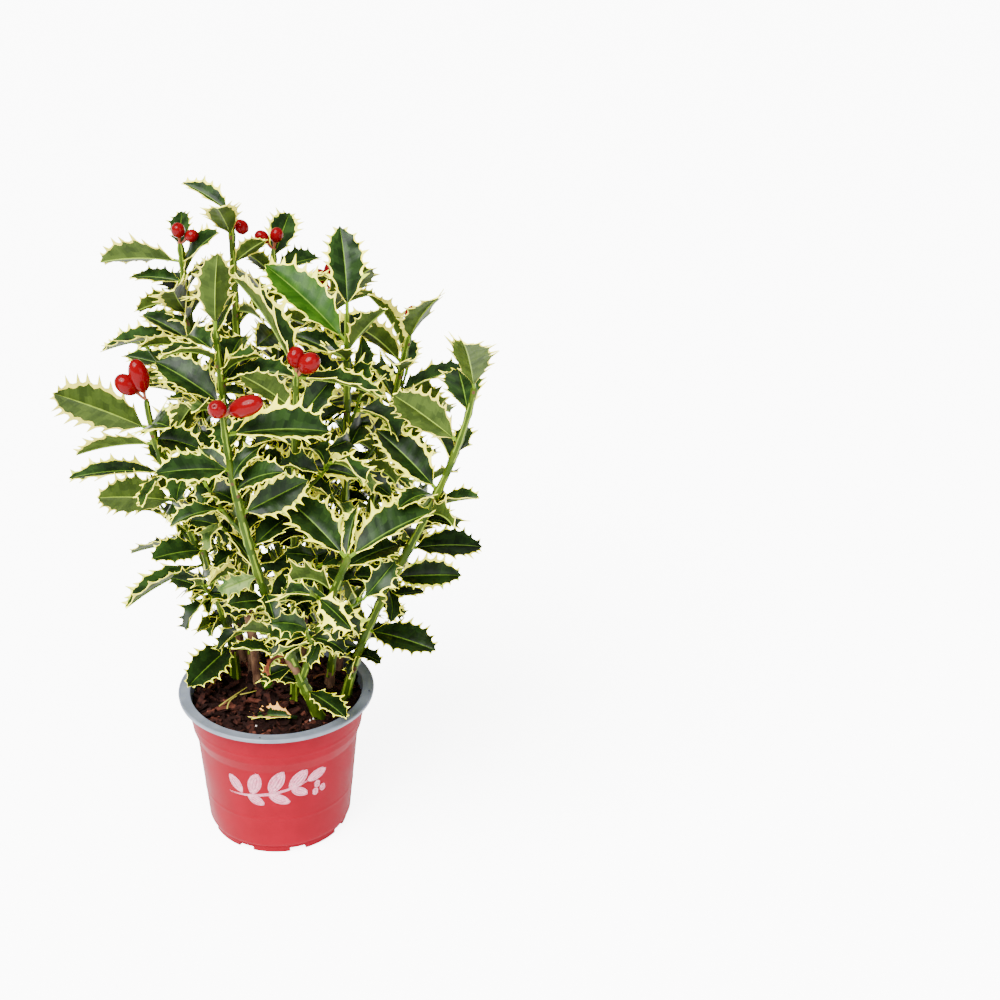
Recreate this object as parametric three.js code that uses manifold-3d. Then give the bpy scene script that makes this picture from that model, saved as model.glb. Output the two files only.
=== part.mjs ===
// Variegated holly in a thirteen-centimetre nursery pot: a young bushy plant of several leafy shoots.
// Units are millimetres, +Z is up, -Y is the front. The origin is the centre of the pot's flat underside.
import * as THREE from 'three';
import { mergeVertices } from 'three/addons/utils/BufferGeometryUtils.js';
import Module from 'manifold-3d';

const wasm = await Module();
wasm.setup();

// ---------------------------------------------------------------- driving dimensions
const GAP = 0.3; // air kept between two solids that touch on the real plant

// the pot, from its foot ring up to the wide lip
const POT_HEIGHT = 103;
const LIP_RADIUS = 65;
const LIP_THICKNESS = 2.0;
const LIP_SKIRT = 4.5;
const SLEEVE_DEPTH = 14; // how far the lip's inner sleeve reaches down inside the wall
const WALL = 1.4;
const NECK_RADIUS = 59.5;
const SHOULDER_RADIUS = 56.5;
const SHOULDER_HEIGHT = 78;
const COLLAR_RADIUS = 53.8;
const COLLAR_HEIGHT = 71;
const FOOT_RADIUS = 46;
const FOOT_HEIGHT = 6;
const HEEL_RADIUS = 48.4; // the wall just above the recessed foot ring
const FLOOR_THICKNESS = 2.2;
const NOTCHES = 8; // drainage gaps through the foot ring
const NOTCH_WIDTH = 11;
const NOTCH_HEIGHT = 3.2;
const NOTCH_DEPTH = 14;
const DRAIN_HOLES = 6;
const DRAIN_RADIUS = 4.5;
const DRAIN_RING = 27;
const POT_SIDES = 30;

// the filling of bark and peat
const SOIL_LEVEL = 92;

// stems
const STEM_SIDES = 5;
const TIP_RADIUS = 1.5;
const FLARE = 1.4; // extra radius where a stem leaves the soil
const FLARE_LENGTH = 9;
const STEM_STEPS = 4;
const BURIED = 0.03; // share of a shoot that is drawn below the soil before its foot is cut flat
const SHOOT_STEPS = 5;

// leaves, as shares of a leaf's own length
const TEETH = 3; // spines on each side of a main leaf
const SMALL_TEETH = 2; // and of the small leaves low down and on the side twigs
const LEAF_WIDTH = 0.29; // half width at the widest place
const PETIOLE = 0.12;
const RIB_THICKNESS = 0.030;
const ROOT_DEPTH = 0.8; // how far a leaf's root is sunk past the twig's axis
const BAY = 0.70; // width between two spines, against the width at a spine
const FOLD = 0.42; // how far each side stands up from the midrib, in radians
const LEAF_SPACING = 13; // distance along a shoot from one leaf to the next
const SPIRAL = 2.39996; // the turn from one leaf to the next, in radians
const TOP_RISE = 0.95; // how steeply a shoot's top leaves stand, in radians
const LOW_RISE = 0.05; // and its lowest ones
const LEAF_LENGTH = 52;
const LOW_LEAF_SIZE = 0.45; // the lowest leaves of a shoot, against its top ones
const LOW_TURN = 3; // how much the lowest leaves turn about their length, in radians, against 1.1 at the top
const CLEARANCE = 0.5; // a leaf is tested as if it were this much bigger all round
const FREE_FROM = 0.2; // past this share of its length a leaf keeps clear of its own shoot's leaves too
const AIR = 4; // the open space that other leaves leave round a chosen one
const LIGHT_LEAN = 0.7; // how far leaves turn their faces outwards, against upwards
const CORE = 40; // nearer the plant's axis than this they turn outwards less

// side twigs
const TWIG_LENGTH = 40;
const TWIG_RADIUS = 1.3;
const TWIG_LEAVES = 4;
const TWIG_STEPS = 2;
const TWIG_LEAF_SIZE = 0.42; // leaves of the lowest twigs, against a shoot's top ones

// berries
const BERRY_LENGTH = 15;
const BERRY_WIDTH = 10.5;
const STALK_RADIUS = 0.9;
const STALK_LENGTH = 6;

// Each shoot rises from its foot on the soil, or from the side of another shoot, to its tip. bow bends it:
// below 0 the shoot goes up first and leans out later. sway gives it a double bend, below 0 upright at both
// ends. bare is the share of it with no leaves, and spacing spreads its leaves out. leaves: chosen ones, as
// [share of the leafy stretch, azimuth, rise, length, roll]; a roll turns a leaf's face about its own length.
// berries: [azimuth, rise, length, stalk], with a stalk of STALK_LENGTH where none is given.
// Azimuths are seen from above, in degrees from +X, and a rise is above the level.
const SHOOTS = [
  { name: 'left', foot: [-32, 24], tip: [-71, -16, 314],
    bow: -0.22, sway: -0.88, bare: 0.16, radius: 2.7, seed: 11, spacing: 1.6, twigs: 1,
    leaves: [[0.88, 195, 30, 66, 95], [0.83, 175, 0, 50, 30], [0.71, 175, 5, 62, 10],
      [0.6, 200, 15, 52, 90], [0.41, 175, 0, 44, 15], [0.32, 220, 0, 60, 10], [0.77, 15, 65, 46, -75],
      [0.72, 250, -5, 34, 25], [0.59, 5, 35, 44, -15]],
    berries: [[200, 78, 22], [190, 40, 16, 8]] },
  { name: 'front', foot: [32, -24], tip: [-13, -80, 332],
    bow: 0.6, sway: -0.13, bare: 0.2, radius: 3, seed: 23, spacing: 2.4, twigs: 0,
    leaves: [[0.93, 15, 8, 60, 15], [0.77, 150, 35, 30, -30], [0.88, 65, 35, 26, -5],
      [0.52, 45, 30, 42, 20], [0.41, 130, 40, 36, 20], [0.69, 75, 50, 30, -25], [0.26, 65, 40, 38, -5],
      [0.31, 230, 25, 30, -35]],
    berries: [[353, 24, 22], [262, 38, 13]] },
  { name: 'right', foot: [45.5, 0], tip: [128, -36, 337],
    bow: 0, sway: -0.55, bare: 0.14, radius: 2.7, seed: 37, spacing: 2, twigs: 0,
    leaves: [[0.99, 260, 60, 56, 5], [0.91, 100, 25, 46, 0], [0.82, 180, 40, 52, 95],
      [0.65, 160, 45, 54, -30], [0.59, 355, 30, 32, -15], [0.44, 15, 5, 48, 20], [0.24, 30, 10, 30, -5],
      [0.33, 335, 20, 46, 50], [0.12, 330, 10, 50, 25]],
    berries: [] },
  { name: 'tall', foot: [-20, 26], tip: [-25, 40, 414],
    bow: -0.2, bare: 0.13, radius: 2.9, seed: 41, twigs: 2,
    leaves: [[1, 160, 35, 36, -10], [0.95, 260, 50, 42, 25], [0.89, 355, 45, 28, -60]],
    berries: [[350, -50, 10, 7]] },
  { name: 'middle', foot: [-14, 12], tip: [-25, -26, 363],
    bow: 0.2, bare: 0.18, radius: 2.6, seed: 53, twigs: 1,
    leaves: [[1, 100, 80, 46, -160], [0.77, 165, 35, 50, -25], [0.98, 75, 55, 30, -25]],
    berries: [] },
  { name: 'rear_left', foot: [-28, 40], tip: [-55, 31, 398],
    bow: 0.45, bare: 0.15, radius: 2.6, seed: 61, twigs: 2,
    leaves: [[0.98, 100, 45, 30, -10], [0.95, 165, 5, 52, 40], [0.9, 170, 10, 36, -15],
      [0.86, 210, 5, 34, 50], [0.76, 175, 0, 58, 5], [0.75, 155, 25, 40, -20]],
    berries: [[270, 65, 10], [340, 30, 9, 7]] },
  { name: 'rear', foot: [-2, 34], tip: [-3, 62, 387],
    bow: -0.2, bare: 0.15, radius: 2.6, seed: 73, twigs: 2,
    leaves: [[0.97, 75, 45, 38, 15], [0.93, 210, 50, 26, 60], [0.94, 35, 15, 34, 30]],
    berries: [[200, 45, 10, 7], [330, 72, 10]] },
  { name: 'inner_right', foot: [33, 12], tip: [49, 5, 366],
    bow: 1.1, bare: 0.16, radius: 2.5, seed: 83, twigs: 2,
    leaves: [[1, 95, 70, 52, 25], [0.91, 160, 45, 70, -25], [0.89, 0, 60, 38, -40], [0.86, 155, 25, 40, -5]],
    berries: [] },
  { name: 'inner_front', foot: [12, -4], tip: [24, -43, 343],
    bow: -0.2, bare: 0.18, radius: 2.3, seed: 97, twigs: 1,
    leaves: [[1, 135, 55, 68, 30], [0.88, 190, 45, 42, 70], [0.99, 15, -5, 54, -10],
      [0.8, 180, 30, 40, 50]],
    berries: [[90, 81, 13], [345, 45, 15]] },
  { name: 'rear_right', foot: [36, 32], tip: [84, 52, 338],
    bow: -0.1, bare: 0.15, radius: 2.5, seed: 103, twigs: 2,
    leaves: [[0.97, 310, 62, 50, 0], [0.8, 10, 30, 52, 0]],
    berries: [[60, 72, 13]] },
  { name: 'back', foot: [10, 45], tip: [28, 104, 348],
    bow: -0.2, bare: 0.13, radius: 2.5, seed: 113, twigs: 2,
    leaves: [[0.92, 280, 50, 44, 0], [0.8, 60, 30, 54, 0]],
    berries: [[80, 70, 14], [160, 40, 12]] },
  { name: 'back_left', foot: [-20, 44], tip: [-68, 88, 330],
    bow: -0.2, bare: 0.13, radius: 2.5, seed: 127, twigs: 2,
    leaves: [[0.97, 330, 62, 50, 0], [0.8, 170, 25, 52, 0]],
    berries: [[120, 66, 13]] },
  { name: 'fork_right', from: 'front', at: 0.16, tip: [57, -77, 243],
    bow: -0.1, bare: 0.14, radius: 2.1, seed: 131, twigs: 0,
    leaves: [[0.97, 150, 40, 58, -15], [0.97, 90, 50, 34, -35], [0.97, 30, 30, 60, 5], [0.89, 40, 15, 42, 10]],
    berries: [] },
  { name: 'fork_left', from: 'left', at: 0.12, tip: [-41, -18, 216],
    bow: 0.1, bare: 0.12, radius: 2.0, seed: 149, twigs: 1,
    leaves: [[0.95, 230, 20, 38, -30]],
    berries: [] },
  { name: 'fork_back', from: 'rear_right', at: 0.1, tip: [78, 78, 236],
    bow: 0.1, bare: 0.12, radius: 2.0, seed: 157, twigs: 1,
    leaves: [[1, 60, 66, 42, 0]],
    berries: [] },
];

const COLOURS = {
  pot: '#f2434f', lip: '#8d939c', soil: '#2e1712', stem: '#7f8f3f', foliage: '#3f6a35',
};

// ---------------------------------------------------------------- small helpers
// The same seed always gives the same numbers between 0 and 1.
function randomFrom(seed) {
  let state = seed >>> 0;
  return () => {
    state = (state + 0x6d2b79f5) >>> 0;
    let mixed = Math.imul(state ^ (state >>> 15), state | 1);
    mixed = (mixed + Math.imul(mixed ^ (mixed >>> 7), mixed | 61)) ^ mixed;
    return ((mixed ^ (mixed >>> 14)) >>> 0) / 4294967296;
  };
}

const radians = (degrees) => (degrees * Math.PI) / 180;
const mix = (a, b, share) => a + (b - a) * share;

function directionOf(azimuth, rise) {
  const level = Math.cos(rise);
  return new THREE.Vector3(level * Math.cos(azimuth), level * Math.sin(azimuth), Math.sin(rise));
}

function solidOf(geometry) {
  geometry.deleteAttribute('normal');
  geometry.deleteAttribute('uv');
  const merged = mergeVertices(geometry, 1e-4);
  return new wasm.Manifold(new wasm.Mesh({
    numProp: 3,
    vertProperties: new Float32Array(merged.attributes.position.array),
    triVerts: new Uint32Array(merged.index.array),
  }));
}

// The largest closed shell of a solid: loose scraps and hollows that fusing sealed are left out.
function geometryOf(solid) {
  const mesh = solid.getMesh();
  const count = mesh.vertProperties.length / mesh.numProp;
  const position = new Float32Array(count * 3);
  for (let i = 0; i < count; i += 1) {
    for (let axis = 0; axis < 3; axis += 1) {
      position[i * 3 + axis] = mesh.vertProperties[i * mesh.numProp + axis];
    }
  }
  const leader = Array.from({ length: count }, (_, i) => i);
  const find = (i) => {
    let top = i;
    while (leader[top] !== top) top = leader[top];
    leader[i] = top;
    return top;
  };
  const triangles = mesh.triVerts;
  for (let i = 0; i < triangles.length; i += 3) {
    leader[find(triangles[i])] = find(triangles[i + 1]);
    leader[find(triangles[i + 1])] = find(triangles[i + 2]);
  }
  const shells = new Map();
  for (let i = 0; i < triangles.length; i += 3) {
    const key = find(triangles[i]);
    if (!shells.has(key)) shells.set(key, []);
    shells.get(key).push(triangles[i], triangles[i + 1], triangles[i + 2]);
  }
  const largest = [...shells.values()].reduce((a, b) => (b.length > a.length ? b : a));
  const geometry = new THREE.BufferGeometry();
  geometry.setAttribute('position', new THREE.BufferAttribute(position, 3));
  geometry.setIndex(largest);
  return geometry.toNonIndexed();
}

// ---------------------------------------------------------------- the pot
const circleNotch = () => {
  const box = new THREE.BoxGeometry(NOTCH_DEPTH, NOTCH_WIDTH, NOTCH_HEIGHT * 2);
  box.translate(FOOT_RADIUS, 0, 0);
  return box;
};

function lathe(profile) {
  const points = profile.map(([radius, height]) => new THREE.Vector2(radius, height));
  const geometry = new THREE.LatheGeometry(points, POT_SIDES);
  geometry.rotateX(Math.PI / 2);
  return geometry;
}

function potGeometry() {
  const wallTop = POT_HEIGHT - LIP_THICKNESS - GAP;
  const floorTop = NOTCH_HEIGHT + FLOOR_THICKNESS;
  const outside = [
    [0, 0], [FOOT_RADIUS, 0], [FOOT_RADIUS, FOOT_HEIGHT], [HEEL_RADIUS, FOOT_HEIGHT + 2],
    [COLLAR_RADIUS, COLLAR_HEIGHT], [SHOULDER_RADIUS, SHOULDER_HEIGHT], [NECK_RADIUS, wallTop],
  ];
  const inside = [
    [NECK_RADIUS - WALL, wallTop], [SHOULDER_RADIUS - WALL, SHOULDER_HEIGHT],
    [COLLAR_RADIUS - WALL, COLLAR_HEIGHT], [HEEL_RADIUS - WALL, FOOT_HEIGHT + 2],
    [FOOT_RADIUS - WALL, floorTop], [0, floorTop],
  ];
  let pot = solidOf(lathe([...outside, ...inside]));
  for (let i = 0; i < NOTCHES; i += 1) {
    pot = pot.subtract(solidOf(circleNotch().rotateZ((i + 0.5) * (2 * Math.PI / NOTCHES))));
  }
  for (let i = 0; i < DRAIN_HOLES; i += 1) {
    const hole = new THREE.CylinderGeometry(DRAIN_RADIUS, DRAIN_RADIUS, floorTop * 3, 12);
    hole.rotateX(Math.PI / 2);
    hole.translate(DRAIN_RING, 0, 0);
    pot = pot.subtract(solidOf(hole.rotateZ(i * (2 * Math.PI / DRAIN_HOLES))));
  }
  return geometryOf(pot);
}

// The lip: a flat ring with a short skirt outside and a sleeve that lines the wall inside.
function lipGeometry() {
  const sleeveRadius = NECK_RADIUS - WALL - GAP;
  const taper = (NECK_RADIUS - SHOULDER_RADIUS) / (POT_HEIGHT - SHOULDER_HEIGHT);
  const sleeveFoot = POT_HEIGHT - SLEEVE_DEPTH;
  const underside = POT_HEIGHT - LIP_THICKNESS;
  const footRadius = sleeveRadius - taper * SLEEVE_DEPTH;
  const profile = [
    [footRadius - WALL, sleeveFoot], [footRadius, sleeveFoot], [sleeveRadius - GAP, underside],
    [LIP_RADIUS - WALL, underside], [LIP_RADIUS - WALL, POT_HEIGHT - LIP_SKIRT],
    [LIP_RADIUS, POT_HEIGHT - LIP_SKIRT], [LIP_RADIUS, POT_HEIGHT - LIP_THICKNESS / 2],
    [LIP_RADIUS - LIP_THICKNESS / 2, POT_HEIGHT], [sleeveRadius - WALL, POT_HEIGHT],
  ];
  return geometryOf(solidOf(lathe([...profile, profile[0]])));
}

// The filling, flat on top, clear of the wall and of the sleeve.
function soilGeometry() {
  const lineAt = (height) => {
    const share = (height - FOOT_HEIGHT) / (COLLAR_HEIGHT - FOOT_HEIGHT);
    return mix(HEEL_RADIUS, COLLAR_RADIUS, share) - WALL - 2 * GAP;
  };
  const base = NOTCH_HEIGHT + FLOOR_THICKNESS + GAP;
  const sleeveFoot = POT_HEIGHT - SLEEVE_DEPTH;
  const taper = (NECK_RADIUS - SHOULDER_RADIUS) / (POT_HEIGHT - SHOULDER_HEIGHT);
  const topRadius = NECK_RADIUS - taper * SLEEVE_DEPTH - 2 * WALL - 4 * GAP;
  return geometryOf(solidOf(lathe([
    [0, base], [FOOT_RADIUS - WALL - GAP, base], [lineAt(FOOT_HEIGHT + 4), FOOT_HEIGHT + 4],
    [lineAt(COLLAR_HEIGHT), COLLAR_HEIGHT], [topRadius, sleeveFoot - 6], [topRadius, SOIL_LEVEL],
    [0, SOIL_LEVEL],
  ])));
}

// ---------------------------------------------------------------- how a shoot runs
const shootNamed = (name) => SHOOTS.find((shoot) => shoot.name === name);

function footOf(shoot) {
  if (!shoot.from) return new THREE.Vector3(shoot.foot[0], shoot.foot[1], SOIL_LEVEL + GAP);
  return pointOn(shootNamed(shoot.from), shoot.at);
}

function pointOn(shoot, share) {
  const foot = footOf(shoot);
  const bend = shoot.bow + (shoot.sway ?? 0) * (1 - 2 * share);
  const lean = share + bend * share * (1 - share);
  const [x, y, z] = shoot.tip;
  return new THREE.Vector3(mix(foot.x, x, lean), mix(foot.y, y, lean), mix(foot.z, z, share));
}

function radiusOn(shoot, share) {
  const above = Math.max(pointOn(shoot, share).z - SOIL_LEVEL, 0);
  const flare = shoot.from ? 0 : FLARE * Math.exp(-above / FLARE_LENGTH);
  return mix(shoot.radius, TIP_RADIUS, share) + flare;
}

// A closed tapering tube through the given points, bent from a plain cylinder.
function tubeAlong(pointAt, radiusAt, steps, sides = STEM_SIDES) {
  const geometry = new THREE.CylinderGeometry(1, 1, 1, sides, steps);
  const place = geometry.attributes.position;
  const local = new THREE.Vector3();
  for (let i = 0; i < place.count; i += 1) {
    local.fromBufferAttribute(place, i);
    const share = local.y + 0.5;
    const centre = pointAt(share);
    const along = pointAt(share + 0.01).sub(pointAt(share - 0.01)).normalize();
    const across = new THREE.Vector3(1, 0, 0).addScaledVector(along, -along.x).normalize();
    const third = new THREE.Vector3().crossVectors(across, along);
    const radius = radiusAt(share);
    centre.addScaledVector(across, local.x * radius).addScaledVector(third, local.z * radius);
    place.setXYZ(i, centre.x, centre.y, centre.z);
  }
  return geometry;
}

function stretchOf(shoot, from, to, extra, steps) {
  const shareAt = (share) => mix(from, to, share);
  return tubeAlong((s) => pointOn(shoot, shareAt(s)), (s) => radiusOn(shoot, shareAt(s)) + extra, steps);
}

// ---------------------------------------------------------------- leaves
const SKY = new THREE.Vector3(0, 0, 1);

// Where the light comes from: above, and from outside the plant.
function lightAt(place) {
  const level = new THREE.Vector3(place.x, place.y, 0);
  level.divideScalar(Math.max(level.length(), CORE));
  return level.multiplyScalar(LIGHT_LEAN).add(SKY);
}

// A leaf runs out along its midrib and curls down towards its tip. Each spine stands out from the blade.
function leafFrame(leaf) {
  const out = directionOf(leaf.azimuth, leaf.rise);
  const up = leaf.light.clone().addScaledVector(out, -out.dot(leaf.light)).normalize();
  up.applyAxisAngle(out, leaf.roll);
  const side = new THREE.Vector3().crossVectors(up, out);
  return { out, up, side };
}

function leafPoint(leaf, frame, along, across, lift) {
  const turn = leaf.curl * along;
  const reach = (leaf.length / leaf.curl) * Math.sin(turn);
  const drop = (leaf.length / leaf.curl) * (Math.cos(turn) - 1);
  const point = leaf.root.clone();
  point.addScaledVector(frame.out, reach + lift * Math.sin(turn));
  point.addScaledVector(frame.up, drop + lift * Math.cos(turn));
  return point.addScaledVector(frame.side, across);
}

// Half the blade's width at a place along the leaf, as a share of the widest.
function bladeWidth(along) {
  const share = (along - PETIOLE) / (1 - PETIOLE);
  return share <= 0 ? 0 : Math.sin(Math.PI * share ** 0.85) ** 0.72;
}

function leafGeometry(leaf, extra, from = -ROOT_DEPTH / leaf.length) {
  const frame = leafFrame(leaf);
  const ridgeHalf = (leaf.length * RIB_THICKNESS) / 2 + extra;
  const halfWidth = leaf.length * LEAF_WIDTH;
  const neck = Math.max(PETIOLE, from + 0.02);
  const ring = [{ along: from, across: 0, near: true }];
  const edge = [{ along: neck, across: 1.0 + extra, near: true }];
  for (let tooth = 0; tooth < leaf.teeth; tooth += 1) {
    const place = mix(PETIOLE, 1, (tooth + 0.75) / (leaf.teeth + 0.35));
    const bay = mix(PETIOLE, 1, (tooth + 1.15) / (leaf.teeth + 0.35));
    edge.push({ along: place, across: halfWidth * bladeWidth(place) + extra, near: false });
    edge.push({ along: bay, across: halfWidth * BAY * bladeWidth(bay) + extra, near: false });
  }
  ring.push(...edge);
  ring.push({ along: 1 + extra / leaf.length, across: 0, near: false });
  ring.push(...edge.map((item) => ({ ...item, across: -item.across })).reverse());
  const points = ring.map(({ along, across }) => {
    const width = Math.abs(across);
    return leafPoint(leaf, frame, along, across * Math.cos(FOLD), width * Math.sin(FOLD));
  });
  const count = points.length;
  for (const lift of [ridgeHalf, -ridgeHalf]) {
    points.push(leafPoint(leaf, frame, neck, 0, lift));
    points.push(leafPoint(leaf, frame, 0.5, 0, lift));
  }
  const index = [];
  for (let i = 0; i < count; i += 1) {
    const next = (i + 1) % count;
    for (const [first, flip] of [[count, false], [count + 2, true]]) {
      const apex = ring[i].near ? first : first + 1;
      const nextApex = ring[next].near ? first : first + 1;
      const faces = [[i, next, apex]];
      if (apex !== nextApex) faces.push([next, nextApex, apex]);
      for (const [a, b, c] of faces) index.push(...(flip ? [a, b, c] : [b, a, c]));
    }
  }
  const geometry = new THREE.BufferGeometry();
  const flat = new Float32Array(points.flatMap((point) => [point.x, point.y, point.z]));
  geometry.setAttribute('position', new THREE.BufferAttribute(flat, 3));
  geometry.setIndex(index);
  return geometry;
}

// ---------------------------------------------------------------- growing
// What a shoot has grown so far, and the bulkier copies that its neighbours must stay clear of.
class Mass {
  constructor(shoot) {
    this.shoot = shoot;
    this.random = randomFrom(shoot.seed);
    this.pieces = [];
    this.bodies = [];
    this.blades = [];
    const start = shoot.bare + GAP / pointOn(shoot, 1).distanceTo(footOf(shoot));
    this.start = start;
    this.keep(stretchOf(shoot, start, 1, 0, SHOOT_STEPS), stretchOf(shoot, start, 1, CLEARANCE, SHOOT_STEPS));
  }

  keep(geometry, bulky) {
    this.pieces.push(solidOf(geometry));
    this.bodies.push(bodyOf(bulky));
    this.blades.push(bodyOf(geometry));
  }
}

function bodyOf(geometry) {
  geometry.computeBoundingBox();
  return { box: geometry.boundingBox.clone(), solid: solidOf(geometry) };
}

const touches = (a, b) => a.box.intersectsBox(b.box)
  && a.solid.intersect(b.solid).getMesh().triVerts.length > 0;

function clearOf(body, bodies) {
  return !bodies.some((other) => touches(body, other));
}

function addLeaf(mass, masses, fixed, leaf) {
  const body = bodyOf(leafGeometry(leaf, CLEARANCE));
  const blade = bodyOf(leafGeometry(leaf, 0, FREE_FROM));
  if (!clearOf(body, fixed) || !clearOf(blade, mass.blades)) return false;
  for (const other of masses) {
    if (other !== mass && !clearOf(body, other.bodies)) return false;
  }
  mass.pieces.push(solidOf(leafGeometry(leaf, 0)));
  mass.bodies.push(body);
  mass.blades.push(blade);
  return true;
}

// Leaves are numbered from the tip down. Near the tip they stand up, lower down they spread and then droop.
function seededLeaf(mass, number) {
  const { shoot, random } = mass;
  const jitter = [random(), random(), random(), random(), random()].map((value) => value - 0.5);
  const leafy = pointOn(shoot, 1).distanceTo(pointOn(shoot, mass.start));
  const down = ((number + 1.2) * LEAF_SPACING * (shoot.spacing ?? 1)) / leafy;
  if (down > 1) return null;
  const share = mix(1, mass.start, down);
  const size = mix(1, LOW_LEAF_SIZE, Math.min(down * 1.3, 1)) * (1 + 0.24 * jitter[2]);
  const small = shoot.from ? 0.82 : 1;
  const root = pointOn(shoot, share);
  return {
    root,
    light: lightAt(root),
    azimuth: shoot.seed + number * SPIRAL + 0.5 * jitter[0],
    rise: mix(TOP_RISE, LOW_RISE, Math.min(down * 1.5, 1)) + 0.7 * jitter[1],
    length: LEAF_LENGTH * size * small,
    roll: mix(1.1, LOW_TURN, down) * jitter[3],
    curl: 0.75 + 0.7 * jitter[4],
    teeth: down > 0.55 ? SMALL_TEETH : TEETH,
  };
}

function chosenLeaf(mass, [share, azimuth, rise, length, roll]) {
  const root = pointOn(mass.shoot, mix(mass.start, 1, share));
  const turned = { azimuth: radians(azimuth), rise: radians(rise), roll: radians(roll) };
  return { root, light: SKY, ...turned, length, curl: 0.4, teeth: TEETH };
}

function growTwig(mass, masses, fixed, number) {
  const { shoot, random } = mass;
  const jitter = [random(), random(), random()].map((value) => value - 0.5);
  const share = mix(mass.start, 1, 0.12 + (0.55 * (number + 0.5)) / shoot.twigs);
  const azimuth = shoot.seed * 2 + number * SPIRAL + 0.8 * jitter[0];
  const out = directionOf(azimuth, radians(38) + 0.4 * jitter[1]);
  const length = TWIG_LENGTH * (1 + 0.3 * jitter[2]);
  const root = pointOn(shoot, share);
  const pointAt = (s) => root.clone().addScaledVector(out, s * length).add(new THREE.Vector3(0, 0, 8 * s * s));
  const tube = (extra) => tubeAlong(pointAt, (s) => mix(TWIG_RADIUS, 1, s) + extra, TWIG_STEPS);
  const body = bodyOf(tube(CLEARANCE));
  const clear = clearOf(body, fixed) && masses.every((other) => other === mass || clearOf(body, other.bodies));
  if (clear) mass.keep(tube(0), tube(CLEARANCE));
  for (let i = 0; i < TWIG_LEAVES; i += 1) {
    const wobble = [random(), random(), random(), random()].map((value) => value - 0.5);
    if (!clear) continue;
    const leafRoot = pointAt(1 - (0.8 * i) / TWIG_LEAVES);
    addLeaf(mass, masses, fixed, {
      root: leafRoot,
      light: lightAt(leafRoot),
      azimuth: azimuth + (i === 0 ? 0 : i * SPIRAL) + 0.4 * wobble[0],
      rise: mix(radians(40), radians(5), i / TWIG_LEAVES) + 0.5 * wobble[1],
      length: LEAF_LENGTH * mix(TWIG_LEAF_SIZE, 0.66, share) * (1 + 0.3 * wobble[2]),
      roll: 0.9 * wobble[3],
      curl: 0.8,
      teeth: SMALL_TEETH,
    });
  }
}

function growBerry(mass, [azimuth, rise, size, stalkLength = STALK_LENGTH]) {
  const out = directionOf(radians(azimuth), radians(rise));
  const root = pointOn(mass.shoot, 1).addScaledVector(out, -2);
  const reach = stalkLength + size / 2;
  const half = size / 2;
  const width = (BERRY_WIDTH * Math.min(size, BERRY_LENGTH)) / BERRY_LENGTH / 2 + 0.8;
  const berryAt = (extra) => {
    const berry = new THREE.SphereGeometry(1, 7, 4);
    berry.scale(width + extra, half + extra, width + extra);
    berry.applyQuaternion(new THREE.Quaternion().setFromUnitVectors(new THREE.Vector3(0, 1, 0), out));
    const centre = root.clone().addScaledVector(out, reach);
    return berry.translate(centre.x, centre.y, centre.z);
  };
  const stalkAt = (s) => root.clone().addScaledVector(out, s * (reach - 2));
  const stalk = tubeAlong(stalkAt, () => STALK_RADIUS, 1, 3);
  mass.pieces.push(solidOf(stalk));
  mass.keep(berryAt(0), berryAt(CLEARANCE));
}

function growMasses(fixed) {
  const masses = SHOOTS.map((shoot) => new Mass(shoot));
  for (const mass of masses) {
    for (const berry of mass.shoot.berries) growBerry(mass, berry);
  }
  const room = [...fixed];
  for (const mass of masses) {
    for (const values of mass.shoot.leaves) {
      const leaf = chosenLeaf(mass, values);
      if (addLeaf(mass, masses, fixed, leaf)) room.push(bodyOf(leafGeometry(leaf, AIR, FREE_FROM)));
    }
  }
  const most = 30;
  for (let number = 0; number < most; number += 1) {
    for (const mass of masses) {
      const leaf = seededLeaf(mass, number);
      if (leaf) addLeaf(mass, masses, room, leaf);
    }
  }
  for (const mass of masses) {
    for (let number = 0; number < mass.shoot.twigs; number += 1) growTwig(mass, masses, room, number);
  }
  return masses;
}

// ---------------------------------------------------------------- the whole plant
const plant = new THREE.Group();

function addNode(name, geometry, colour, roughness) {
  const material = new THREE.MeshStandardMaterial({ color: colour, roughness, metalness: 0 });
  const mesh = new THREE.Mesh(geometry, material);
  mesh.name = name;
  plant.add(mesh);
}

addNode('pot', potGeometry(), COLOURS.pot, 0.4);
addNode('lip', lipGeometry(), COLOURS.lip, 0.45);
addNode('soil', soilGeometry(), COLOURS.soil, 0.95);

// A stem is cut flat where it leaves the soil, and a forked one is cut clear of the stem that it leaves.
function stemSolid(shoot) {
  if (shoot.from) {
    const parent = solidOf(stretchOf(shootNamed(shoot.from), 0, 1, GAP, 2 * STEM_STEPS));
    return solidOf(stretchOf(shoot, 0, shoot.bare, 0, STEM_STEPS)).subtract(parent);
  }
  const block = new THREE.BoxGeometry(2 * LIP_RADIUS, 2 * LIP_RADIUS, SOIL_LEVEL);
  block.translate(0, 0, SOIL_LEVEL / 2 + GAP);
  return solidOf(stretchOf(shoot, -BURIED, shoot.bare, 0, STEM_STEPS)).subtract(solidOf(block));
}

for (const shoot of SHOOTS) addNode(`stem_${shoot.name}`, geometryOf(stemSolid(shoot)), COLOURS.stem, 0.6);

const ground = new THREE.CylinderGeometry(LIP_RADIUS + 1, LIP_RADIUS + 1, POT_HEIGHT + 1, 24);
ground.rotateX(Math.PI / 2);
ground.translate(0, 0, (POT_HEIGHT + 1) / 2);
const fixedBodies = [bodyOf(ground)];
for (const shoot of SHOOTS) fixedBodies.push(bodyOf(stretchOf(shoot, 0, shoot.bare, CLEARANCE, STEM_STEPS)));

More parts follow.
